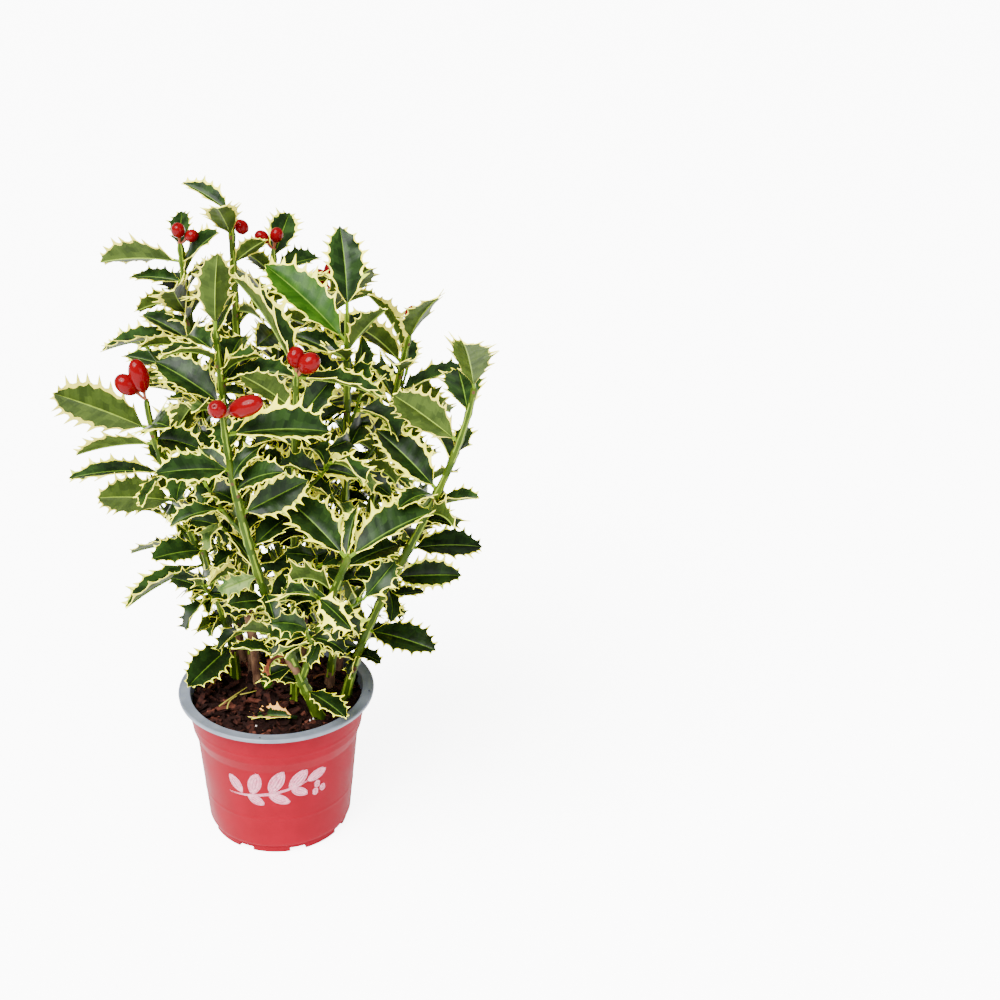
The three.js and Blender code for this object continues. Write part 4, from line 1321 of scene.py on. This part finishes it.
# Each row: root, azimuth, rise, length and radius of an old cut end.
STUBS = [
    ((19.5, -42, 140), 205, 66, 15, 2.5),
    ((-34, 20, 128), 215, 80, 19, 2.6),
    ((50, -3, 118), 300, 40, 8, 1.8),
]


def add_shoot(shape, mass):
    """One shoot, with a pale line down each ridge crest as a painted highlight, and its woody part."""
    shoot = mass.shoot
    length = (point_on(shoot, 1) - foot_of(shoot)).length
    low = 0.0 if "fork" in shoot else -BURIED / length
    surface = shoot_surface(mass)
    place = path_place(lambda s: point_on(shoot, mix(low, 1, s)),
                       lambda s, turn: surface(mix(low, 1, s), turn))
    faces = tube_shape(shape, STEM_ROUND, int(length / STEM_RING_EVERY), place)
    from_height, to_height = WOODY_PARTS.get(shoot["name"], (0, 0))
    strip = shape.faces.layers.int["strip"]
    for face in faces:
        middle = face.calc_center_median()
        # Every third strip lies on a ridge crest and takes the pale colour, a painted highlight, broken by
        # noise.
        if face[strip] % (STEM_ROUND // RIDGES) == 0 and noise.noise(middle * HIGHLIGHT_PATCHES) > HIGHLIGHT_GAPS:
            face.material_index = CREST_HIGHLIGHT
        if from_height < middle.z + WOODY_EDGE * noise.noise(middle * WOODY_PATCHES) < to_height:
            face.material_index = WOOD


def add_twig(shape, root, out, length):
    """One side twig, thin and slightly wavy."""
    def radius_at(s, turn):
        return mix(TWIG_RADIUS, FINE_TWIG_TIP, s) * (1 + TWIG_WAVE * math.cos(3 * turn + TWIG_WIND * s))

    tube_shape(shape, *TWIG_SIZE, path_place(twig_path(root, out, length), radius_at))


def add_stub(shape, root, azimuth, rise, length, radius):
    """One old cut end, lumpy and rounded off."""
    out = direction_of(math.radians(azimuth), math.radians(rise))

    def radius_at(s, turn):
        close = STUB_CLOSE * max(s - STUB_CLOSE_FROM, 0) / STUB_CLOSE_OVER
        return radius * (1 + STUB_LUMP * math.sin(STUB_LUMPS * s + turn) - close)

    place = path_place(lambda s: Vector(root) + out * (s * length), radius_at)
    paint(tube_shape(shape, *STUB_SIZE, place), WOOD)


# %% Making the stems
SCAR_REACH = 1.1
SCAR_RAGGED = 0.7
SCAR_RISE, SCAR_DISTANCE = -0.6, 2.4


def mark_scars(shape):
    """Gives the faces just under each leaf's base the colour of a scar."""
    scars = [leaf["root"] + direction_of(leaf["azimuth"], SCAR_RISE) * SCAR_DISTANCE
             for mass in masses for leaf in mass.leaves]
    near = KDTree(len(scars))
    for number, place in enumerate(scars):
        near.insert(place, number)
    near.balance()
    for face in shape.faces:
        middle = face.calc_center_median()
        reach = SCAR_REACH + SCAR_RAGGED * noise.noise(middle * SCAR_PATCHES)
        if face.material_index != WOOD and near.find(middle)[2] < reach:
            face.material_index = SCAR


def make_stems():
    """All shoots, side twigs and old cut ends as one piece."""
    shape = bmesh.new()
    for mass in masses:
        add_shoot(shape, mass)
        for twig in mass.twigs:
            add_twig(shape, *twig)
    for stub in STUBS:
        add_stub(shape, *stub)
    mark_scars(shape)
    finish_piece("stems", shape, stem_materials, [f"stem_{shoot['name']}" for shoot in SHOOTS])


make_stems()

# %% [markdown]
# ## Berries
# Each berry is a glossy red oval on a short stalk, with a small dark eye at its far end. A sphere is drawn
# out into an oval that narrows slightly at the stalk, and the faces round the far pole take the dark colour.

# %% Making the berries
BERRY_ROUND = 28
BERRY_RINGS = 20
EYE_SHARE = 0.992
BERRY_TAPER = 0.07
BERRY_WAVE = 0.02
DIP_DEPTH, DIP_WIDTH = 0.3, 0.03
STALK_RADII = (0.75, 0.95)
STALK_CUP, STALK_CUP_LENGTH = 0.5, 0.12
STALK_SAG = -1.2
STALK_OVERLAP = 0.6
STALK_SIZE = (10, 8)
BERRY_SHARP = math.radians(80)
berry_materials = [
    plain_material("berry_red", (92, 0, 5), 0.10, 0.08),
    plain_material("berry_eye", (56, 5, 5), 0.6, 0.03),
]
stalk_material = plain_material("berry_stalk", (120, 58, 34), 0.55)
EYE = 1


def add_berry(shape, berry):
    """One berry: a sphere drawn out along its direction, dimpled at both ends."""
    turn = berry["out"].to_track_quat("Z", "Y")
    verts = bmesh.ops.create_uvsphere(shape, u_segments=BERRY_ROUND, v_segments=BERRY_RINGS,
                                      radius=1)["verts"]
    paint(faces_of(vert for vert in verts if vert.co.z > EYE_SHARE), EYE)
    for vert in verts:
        x, y, end = vert.co
        width = berry["width"] * (1 - BERRY_TAPER * max(-end, 0)) * (1 + BERRY_WAVE * math.sin(3 * x))
        dip = DIP_DEPTH * math.exp(-((1 - abs(end)) / DIP_WIDTH) ** 2)
        vert.co = berry["centre"] + turn @ Vector((x * width, y * width, end * (berry["half"] - dip)))


def add_stalk(shape, berry):
    """A berry's short stalk, which sags a little and widens to a cup where it meets the berry."""
    near = berry["centre"] - berry["out"] * (berry["half"] - STALK_OVERLAP)

    def point_at(s):
        return berry["root"].lerp(near, s) + Vector((0, 0, STALK_SAG * math.sin(math.pi * s)))

    def radius_at(s, turn):
        return mix(*STALK_RADII, s) + STALK_CUP * math.exp(-((1 - s) / STALK_CUP_LENGTH) ** 2)

    tube_shape(shape, *STALK_SIZE, path_place(point_at, radius_at))


def make_berries():
    """All berries as one piece and their stalks as another."""
    berries, stalks = bmesh.new(), bmesh.new()
    for mass in masses:
        for berry in mass.berries:
            add_berry(berries, berry)
            add_stalk(stalks, berry)
    finish_piece("berries", berries, berry_materials, [], sharp=BERRY_SHARP)
    finish_piece("berry_stalks", stalks, [stalk_material], [])


make_berries()

# %% [markdown]
# ## The pot
# The pot is thin moulded plastic: a red wall that steps in below a shoulder and tapers to a recessed foot,
# and a grey lip. A turned part is best spun from its half profile. The foot ring is cut by gaps that let
# water out, and the floor has round holes, so both are cut with a Boolean after the spin.

# %% Pot profile and spin
WALL = 1.4
NECK_RADIUS = 59.5
SHOULDER_RADIUS = 56.5
SHOULDER_HEIGHT = 78.0
COLLAR_RADIUS = 53.8
COLLAR_HEIGHT = 71.0
COLLAR_STEP = 0.7
FOOT_RADIUS = 46.0
FOOT_HEIGHT = 6.0
FOOT_EDGE = 0.8
HEEL_RADIUS = 48.4
HEEL_ROUND = 0.5
HEEL_STEP = 0.6
HEEL_RISE = 2
LIP_THICKNESS = 2.0
FLOOR_TOP = 5.4
FAINT_RINGS = (84.0, 30.0)
RING_HEIGHT = 0.18
RING_WIDTH = 0.8
SPIN_STEPS = 128
WALL_RING_EVERY = 1.0
WALL_TOP = POT_HEIGHT - LIP_THICKNESS - GAP
# The outside of the wall as heights and radii.
WALL_LINE = [(0, FOOT_RADIUS), (FOOT_HEIGHT, FOOT_RADIUS), (FOOT_HEIGHT + HEEL_RISE, HEEL_RADIUS),
             (COLLAR_HEIGHT - 1, COLLAR_RADIUS), (COLLAR_HEIGHT + 1, COLLAR_RADIUS + COLLAR_STEP),
             (SHOULDER_HEIGHT, SHOULDER_RADIUS), (WALL_TOP, NECK_RADIUS)]


def spin_profile(shape, profile, steps=SPIN_STEPS):
    """Spins an open or closed half profile of (radius, height) points right round the pot's axis."""
    verts = [shape.verts.new((radius, 0, height)) for radius, height in profile]
    edges = [shape.edges.new(pair) for pair in zip(verts, verts[1:])]
    bmesh.ops.spin(shape, geom=verts + edges, cent=(0, 0, 0), axis=(0, 0, 1), angle=2 * math.pi,
                   steps=steps, use_merge=True, use_duplicate=False)
    bmesh.ops.remove_doubles(shape, verts=shape.verts[:], dist=1e-4)
    bmesh.ops.recalc_face_normals(shape, faces=shape.faces[:])


def wall_radius(height):
    """The outside radius of the wall at a height above the foot."""
    return float(np.interp(height, *zip(*WALL_LINE)))


def pot_profile():
    """The wall from the centre of the underside, up outside, over the top and down inside to the floor."""
    foot = [(0, 0), (FOOT_RADIUS - FOOT_EDGE, 0), (FOOT_RADIUS, FOOT_EDGE),
            (FOOT_RADIUS, FOOT_HEIGHT - HEEL_ROUND), (FOOT_RADIUS + HEEL_STEP, FOOT_HEIGHT),
            (HEEL_RADIUS - HEEL_ROUND, FOOT_HEIGHT + HEEL_STEP)]
    outside = []
    for height in np.arange(FOOT_HEIGHT + HEEL_RISE, WALL_TOP, WALL_RING_EVERY):
        ring = sum(RING_HEIGHT * math.exp(-((height - line) / RING_WIDTH) ** 2) for line in FAINT_RINGS)
        outside.append((wall_radius(height) + ring, height))
    outside.append((NECK_RADIUS, WALL_TOP))
    inside = [(radius - WALL, height) for radius, height in reversed(outside)]
    return foot + outside + inside + [(FOOT_RADIUS - WALL, FLOOR_TOP), (0, FLOOR_TOP)]


# %% Finishes of the pot, the lip and the print
pot_material = patterned_material("pot_red", ((107, 0, 18), (113, 0, 21)), (60, 0.40, 0.62),
                                  (1400, 0.00006, 0.35), (0.42, 0.50), specular=0.04)
lip_material = patterned_material("lip_grey", ((88, 94, 104), (100, 106, 116)), (90, 0.42, 0.64),
                                  (1500, 0.00006, 0.35), (0.32, 0.42), specular=0.35)
ink_material = patterned_material("pot_print", ((240, 150, 176), (246, 186, 204)), (500, 0.40, 0.60),
                                  (1800, 0.00008, 0.4), (0.5, 0.6))

# %% Cutting and making the pot
NOTCHES = 8
NOTCH_SIZE = (14.0, 11.0, 6.4)
DRAIN_HOLES = 6
DRAIN_RING = 27.0
DRAIN_RADIUS = 4.5
DRAIN_SIDES = 24


def cut_with(piece, cutter_shape):
    """Cuts a piece by a bmesh given in metres and applies the cut."""
    cutter = add_object("cutter", mesh_of("cutter", cutter_shape))
    cut = piece.modifiers.new("cut", "BOOLEAN")
    cut.operation = "DIFFERENCE"
    cut.object = cutter
    cut.solver = "EXACT"
    bpy.context.view_layer.update()
    graph = bpy.context.evaluated_depsgraph_get()
    result = bpy.data.meshes.new_from_object(piece.evaluated_get(graph))
    piece.modifiers.clear()
    old = piece.data
    piece.data = result
    result.name = old.name
    bpy.data.objects.remove(cutter)


def ring_of(count, radius, first=0.0):
    """Places evenly spaced round the pot's axis, each turned outwards."""
    return [Matrix.Rotation((i + first) * 2 * math.pi / count, 4, "Z") @ Matrix.Translation((radius, 0, 0))
            for i in range(count)]


def foot_cutters():
    """Blocks for the gaps in the foot ring and rods for the drain holes, in metres."""
    shape = bmesh.new()
    for place in ring_of(NOTCHES, FOOT_RADIUS, first=0.5):
        bmesh.ops.create_cube(shape, size=1, matrix=place @ Matrix.Diagonal((*NOTCH_SIZE, 1)))
    for place in ring_of(DRAIN_HOLES, DRAIN_RING):
        bmesh.ops.create_cone(shape, cap_ends=True, segments=DRAIN_SIDES, radius1=DRAIN_RADIUS,
                              radius2=DRAIN_RADIUS, depth=3 * FLOOR_TOP, matrix=place)
    bmesh.ops.scale(shape, vec=(MM, MM, MM), verts=shape.verts)
    return shape


def make_pot():
    """The red wall, foot and floor."""
    shape = bmesh.new()
    spin_profile(shape, pot_profile())
    pot = finish_piece("pot_wall", shape, [pot_material], ["pot"])
    cut_with(pot, foot_cutters())
    smooth(pot.data, SMOOTH_TO)


make_pot()

# %% The lip
LIP_SKIRT = 2.6
LIP_EDGE = 0.3
LIP_ROUND = 0.9
BEAD_END = 125
BEAD_WIDTH = 2.4 * LIP_ROUND
FLAT_DROP = 0.6 * LIP_ROUND
INNER_DROP = 1.6 * LIP_ROUND
SLEEVE_DEPTH = 14.0
SLEEVE_RADIUS = NECK_RADIUS - WALL - GAP
SLEEVE_WALL = 0.7


def arc(centre, radius, start, end, count=5):
    """Points on part of a circle in the profile's plane, by degrees."""
    turns = np.radians(np.linspace(start, end, count))
    return [(centre[0] + radius * math.cos(turn), centre[1] + radius * math.sin(turn)) for turn in turns]


def make_lip():
    """A flat ring with a raised bead along its outer edge, a short skirt and a sleeve inside the wall."""
    taper = (NECK_RADIUS - SHOULDER_RADIUS) / (POT_HEIGHT - SHOULDER_HEIGHT)
    foot = SLEEVE_RADIUS - taper * SLEEVE_DEPTH
    low, under, skirt = POT_HEIGHT - SLEEVE_DEPTH, POT_HEIGHT - LIP_THICKNESS, POT_HEIGHT - LIP_SKIRT
    inner = SLEEVE_RADIUS - SLEEVE_WALL
    profile = [(foot - SLEEVE_WALL, low), (foot, low), (SLEEVE_RADIUS - GAP, under),
               (LIP_RADIUS - WALL, under), (LIP_RADIUS - WALL, skirt), (LIP_RADIUS - LIP_EDGE, skirt)]
    profile += arc((LIP_RADIUS - LIP_ROUND, POT_HEIGHT - LIP_ROUND), LIP_ROUND, 0, BEAD_END)
    profile.append((LIP_RADIUS - BEAD_WIDTH, POT_HEIGHT - FLAT_DROP))
    profile += arc((inner + LIP_ROUND, POT_HEIGHT - INNER_DROP), LIP_ROUND, 90, 180)
    shape = bmesh.new()
    spin_profile(shape, profile + [profile[0]])
    finish_piece("pot_lip", shape, [lip_material], ["lip"])


make_lip()

# %% Gate marks on the lip
GATE_MARKS = 4
GATE_START = -92
GATE_RADIUS = 0.55
GATE_TAPER = 0.8
GATE_SIDES = 14
GATE_DEPTH, GATE_SINK = 0.3, 0.05
GATE_RING = (SLEEVE_RADIUS + LIP_RADIUS) / 2 + 0.6
gate_material = plain_material("gate_mark", (46, 50, 56), 0.5)


def make_gate_marks():
    """Small dark dots left on the lip where the plastic was fed into the mould."""
    shape = bmesh.new()
    for i in range(GATE_MARKS):
        turn = math.radians(GATE_START + 360 // GATE_MARKS * i)
        middle = (GATE_RING * math.cos(turn), GATE_RING * math.sin(turn), POT_HEIGHT - GATE_SINK)
        bmesh.ops.create_cone(shape, cap_ends=True, segments=GATE_SIDES, radius1=GATE_RADIUS,
                              radius2=GATE_RADIUS * GATE_TAPER, depth=GATE_DEPTH,
                              matrix=Matrix.Translation(middle))
    finish_piece("lip_gate_marks", shape, [gate_material], [])


make_gate_marks()

# %% [markdown]
# ## The print on the pot
# A dry brush leaves a bundle of thin streaks with gaps between them. The print here is a plain sprig: leaves
# filled by four strokes each, on a twig with round berries. Each stroke is a bundle of narrow ribbons laid on
# the wall's curve.

# %% Brush strokes
BRISTLES = 7
BRISTLE_WIDTHS = (0.55, 1.05)
WIDTH_WAVER = (0.8, 1.1)
LATE_START, EARLY_END = 0.10, 0.14
STROKE_STEPS = 14
STROKE_ENDS, STROKE_FULLNESS = 0.08, 0.45
INK_HEIGHT = 0.10
PRINT_MIDDLE = math.radians(-83)


def on_wall(across, height, lift):
    """A point on the wall, by its distance round the wall from the print's middle and its height."""
    radius = wall_radius(height) + lift
    turn = PRINT_MIDDLE + across / wall_radius(height)
    return Vector((radius * math.cos(turn), radius * math.sin(turn), height))


def brush_stroke(shape, points, width, draw):
    """A bundle of ribbons along a bent line of (across, height) points."""
    first, second, third = (Vector((*point, 0)) for point in points)
    for bristle in range(BRISTLES):
        side = (bristle - (BRISTLES - 1) / 2) / (BRISTLES - 1)
        start, stop = LATE_START * draw(), 1 - EARLY_END * draw()
        thick = width / BRISTLES * mix(*BRISTLE_WIDTHS, draw())
        strip = []
        for step in range(STROKE_STEPS + 1):
            share = mix(start, stop, step / STROKE_STEPS)
            spot = first.lerp(second, share).lerp(second.lerp(third, share), share)
            ahead = (second - first).lerp(third - second, share).normalized()
            across = Vector((-ahead.y, ahead.x, 0))
            body = math.sin(math.pi * min(max(share, STROKE_ENDS), 1 - STROKE_ENDS)) ** STROKE_FULLNESS
            middle = spot + across * (side * width * body)
            half = across * (thick / 2 * body * mix(*WIDTH_WAVER, draw()))
            strip.append([shape.verts.new(on_wall(edge.x, edge.y, INK_HEIGHT))
                          for edge in (middle - half, middle + half)])
        for (a, b), (c, d) in zip(strip, strip[1:]):
            shape.faces.new((a, b, d, c))


# %% The sprig
PRINT_SEED = 2024
PRINT_LEVEL = 57.0
# Each row: the foot and the tip of a leaf of the sprig, and half its width.
SPRIG_LEAVES = [((-24, -6), (-33, 7), 3.0), ((-17, -6), (-13, 12), 3.6), ((-5, -4), (4, 14), 3.6),
                ((8, -1), (20, 13), 3.6), ((20, 3), (34, 9), 3.2), ((-20, -7), (-9, -14), 2.8),
                ((-6, -5), (8, -13), 3.0), ((9, -1), (20, -8), 2.8)]
LEAF_BULGES = (-1, -0.35, 0.35, 1)
LEAF_BULGE = 1.7
LEAF_STROKE = 0.75
SPRIG_STEM = [(-34, -8), (-6, -8), (25, 5)]
STEM_STROKE = 2.0
SPRIG_BERRIES = [(27, -2), (31, -6.5), (25.5, -8)]
SPRIG_BERRY_RADIUS = 2.1
BERRY_STROKE = 1.6


def make_print():
    """The brushed sprig on the front of the pot."""
    draw = random_from(PRINT_SEED)
    shape = bmesh.new()
    strokes = []
    for (x0, y0), (x1, y1), half in SPRIG_LEAVES:
        reach = math.hypot(x1 - x0, y1 - y0)
        for bulge in LEAF_BULGES:
            push = LEAF_BULGE * half * bulge
            middle = ((x0 + x1) / 2 - (y1 - y0) / reach * push, (y0 + y1) / 2 + (x1 - x0) / reach * push)
            strokes.append((((x0, y0), middle, (x1, y1)), half * LEAF_STROKE))
    strokes.append((SPRIG_STEM, STEM_STROKE))
    for x, y in SPRIG_BERRIES:
        for bulge in (-1, 0, 1):
            strokes.append((((x - SPRIG_BERRY_RADIUS, y), (x, y + 2 * SPRIG_BERRY_RADIUS * bulge),
                             (x + SPRIG_BERRY_RADIUS, y)), BERRY_STROKE))
    for points, width in strokes:
        brush_stroke(shape, [(across, PRINT_LEVEL + height) for across, height in points], width, draw)
    bmesh.ops.solidify(shape, geom=shape.faces[:], thickness=INK_HEIGHT)
    bmesh.ops.recalc_face_normals(shape, faces=shape.faces[:])
    finish_piece("pot_print", shape, [ink_material], [])


make_print()

# %% [markdown]
# ## The bark filling
# The pot is filled with coarse dark bark. A low mound gives it its level, and several hundred chips lie on
# it: each is a cube squashed to a chip, with its corners pulled about, turned and dropped on the mound at
# random. A few dry sticks, thin roots and grains of grit lie between them.

# %% The mound
SOIL_RADIUS = 55.6
MOUND_RISE = 2.5
EDGE_RISE = 3.5
# Each row: the height, the closeness and the seed of the mound's lumps.
MOUND_LUMPS = [(1.1, 0.11, 3.0), (0.6, 0.3, 9)]
MOUND_RINGS = 28
MOUND_STEPS = 72
MOUND_SHARP = math.radians(70)
LOW_MIDDLE = 0.5
# Radius and height where the filling leaves the collar and where it ends below.
MOUND_SIDES = [(51.0, COLLAR_HEIGHT), (47.0, 20.0), (0, 20.0)]
# The mound shows in the gaps between the chips. Its near black is partly the bark dust's own dark brown and
# partly painted shade.
bark_dust_and_shade_material = patterned_material("bark_dust_and_shade", ((8, 3, 2), (20, 8, 5)), (260, 0.40, 0.62),
                                   (700, 0.0012, 0.9), (0.85, 0.95), specular=0.03)


def mound_height(x, y):
    """The level of the filling, a little higher in the middle and at the wall."""
    edge = min(math.hypot(x, y) / SOIL_RADIUS, 1)
    level = SOIL_LEVEL - LOW_MIDDLE + MOUND_RISE * (1 - edge ** 2) + EDGE_RISE * edge ** 5
    for height, closeness, seed in MOUND_LUMPS:
        level += height * noise.noise(Vector((x * closeness, y * closeness, seed)))
    return level


def make_mound():
    """The filling: a drum with a lumpy top, near black as dark bark dust and painted shade between the chips.
    """
    shape = bmesh.new()
    top = [(radius, SOIL_LEVEL) for radius in np.linspace(0, 1, MOUND_RINGS) * SOIL_RADIUS]
    spin_profile(shape, top + MOUND_SIDES, steps=MOUND_STEPS)
    for vert in shape.verts:
        if vert.co.z > SOIL_LEVEL - 0.01:
            vert.co.z = mound_height(vert.co.x, vert.co.y)
    finish_piece("bark_mound", shape, [bark_dust_and_shade_material], ["soil"], sharp=MOUND_SHARP)


make_mound()

# %% The chips
CHIPS = 620
CHIP_SEED = 77
CHIP_COLOURS = [((14, 5, 4), (25, 11, 8)), ((30, 13, 10), (47, 24, 18)), ((60, 29, 22), (84, 47, 36))]
CHIP_SHARES = (0.56, 0.90)
# Smallest and largest length, width and thickness, and how much the small ones outnumber the others.
CHIP_SIZES = [(4, 18, 1.5), (1.6, 6, 1.3), (0.8, 3.0, 1)]
CHIP_LEANS = [(-0.7, 0.7, "Y"), (-0.6, 0.6, "X")]
CHIP_LEVELS = (0.2, 3.2)
CORNER_PULLS = [(0.6, 1.15), (0.5, 1.2), (0.4, 1.2)]
CHIP_BEVEL = 0.25
CHIP_SHARP = math.radians(30)
CHIP_MARGIN = 3
BIG_CHIP_PLACE, BIG_CHIP_SIZE = (-14, -13, 98), (11, 8, 2)
BIG_CHIP_LEAN = Matrix.Rotation(-0.9, 4, "X") @ Matrix.Rotation(0.3, 4, "Z")
chip_materials = [patterned_material(f"bark_chip_{i}", pair, (420, 0.40, 0.62), (900, 0.0006, 0.8),
                                     (0.7, 0.85), specular=0.05)
                  for i, pair in enumerate(CHIP_COLOURS)]


def add_chip(shape, place, size, turn, colour, draw):
    """One chip: a squashed cube with its corners pulled about and its edges softened."""
    verts = bmesh.ops.create_cube(shape, size=1, matrix=Matrix.Diagonal((*size, 1)))["verts"]
    for vert in verts:
        for axis, pull in enumerate(CORNER_PULLS):
            vert.co[axis] *= mix(*pull, draw())
    edges = list({edge for vert in verts for edge in vert.link_edges})
    paint(faces_of(verts), colour)
    bevelled = bmesh.ops.bevel(shape, geom=edges, offset=CHIP_BEVEL, segments=1, profile=0.5, affect="EDGES",
                               material=-1)
    bmesh.ops.transform(shape, matrix=Matrix.Translation(place) @ turn, verts=bevelled["verts"])


def make_chips():
    """Bark chips, piled a little deeper in the middle, with one large reddish one on top."""
    draw = random_from(CHIP_SEED)
    shape = bmesh.new()
    for _ in range(CHIPS):
        radius = (SOIL_RADIUS - CHIP_MARGIN) * math.sqrt(draw())
        turn = 2 * math.pi * draw()
        x, y = radius * math.cos(turn), radius * math.sin(turn)
        size = [mix(small, large, draw() ** power) for small, large, power in CHIP_SIZES]
        tip, roll = (Matrix.Rotation(mix(low, high, draw()), 4, axis) for low, high, axis in CHIP_LEANS)
        spin = Matrix.Rotation(2 * math.pi * draw(), 4, "Z")
        level = mound_height(x, y) + mix(*CHIP_LEVELS, draw())
        pick = draw()
        colour = sum(pick > limit for limit in CHIP_SHARES)
        add_chip(shape, (x, y, level), size, spin @ (tip @ roll), colour, draw)
    add_chip(shape, BIG_CHIP_PLACE, BIG_CHIP_SIZE, BIG_CHIP_LEAN, len(CHIP_COLOURS) - 1, draw)
    finish_piece("bark_chips", shape, chip_materials, [], sharp=CHIP_SHARP)


make_chips()

# %% Sticks, roots and grit
# Each row: start, middle and end of a thin stick or root, its radius, and whether it is a living root.
STRANDS = [
    ((-47, 1, 97), (-44, 9, 98.5), (-40, 17, 99), 0.9, False),
    ((-36, -18, 96.5), (-27, -9, 100), (-21, 4, 98), 0.45, True),
    ((-30, -21, 96.5), (-31, -14, 99), (-26, -7, 98), 0.5, True),
    ((-24, -5, 98), (-18, -6, 100), (-13, 1, 98), 0.4, True),
    ((22, 20, 97), (28, 26, 99), (33, 24, 97), 0.8, False),
    ((-10, 40, 97), (2, 44, 100), (12, 42, 97), 0.7, False),
]
STRAND_TAPER = 0.3
STRAND_SIZE = (7, 10)
GRIT = [(6, -20, 97.5), (26, -32, 97.5), (28, -30, 97.5), (-8, -40, 97), (-38, -8, 97), (30, 30, 97),
        (4, 36, 98)]
GRIT_RADIUS = 0.7
litter_materials = [plain_material("dry_stick", (84, 50, 30), 0.7, 0.06),
                    plain_material("thin_root", (132, 124, 48), 0.6, 0.06),
                    plain_material("grit", (206, 196, 188), 0.8, 0.1)]
STICK, ROOT, GRAIN = 0, 1, 2


def add_strand(shape, start, middle, end, radius, living):
    """One stick or root: a thin tube along a bent line."""
    start, middle, end = Vector(start), Vector(middle), Vector(end)
    place = path_place(lambda s: start.lerp(middle, s).lerp(middle.lerp(end, s), s),
                       lambda s, turn: radius * (1 - STRAND_TAPER * s))
    paint(tube_shape(shape, *STRAND_SIZE, place), ROOT if living else STICK)


def make_litter():
    """What lies loose on the bark, besides leaves."""
    shape = bmesh.new()
    for strand in STRANDS:
        add_strand(shape, *strand)
    for place in GRIT:
        made = bmesh.ops.create_icosphere(shape, subdivisions=1, radius=GRIT_RADIUS,
                                          matrix=Matrix.Translation(place))
        paint(faces_of(made["verts"]), GRAIN)
    finish_piece("litter", shape, litter_materials, [])


make_litter()
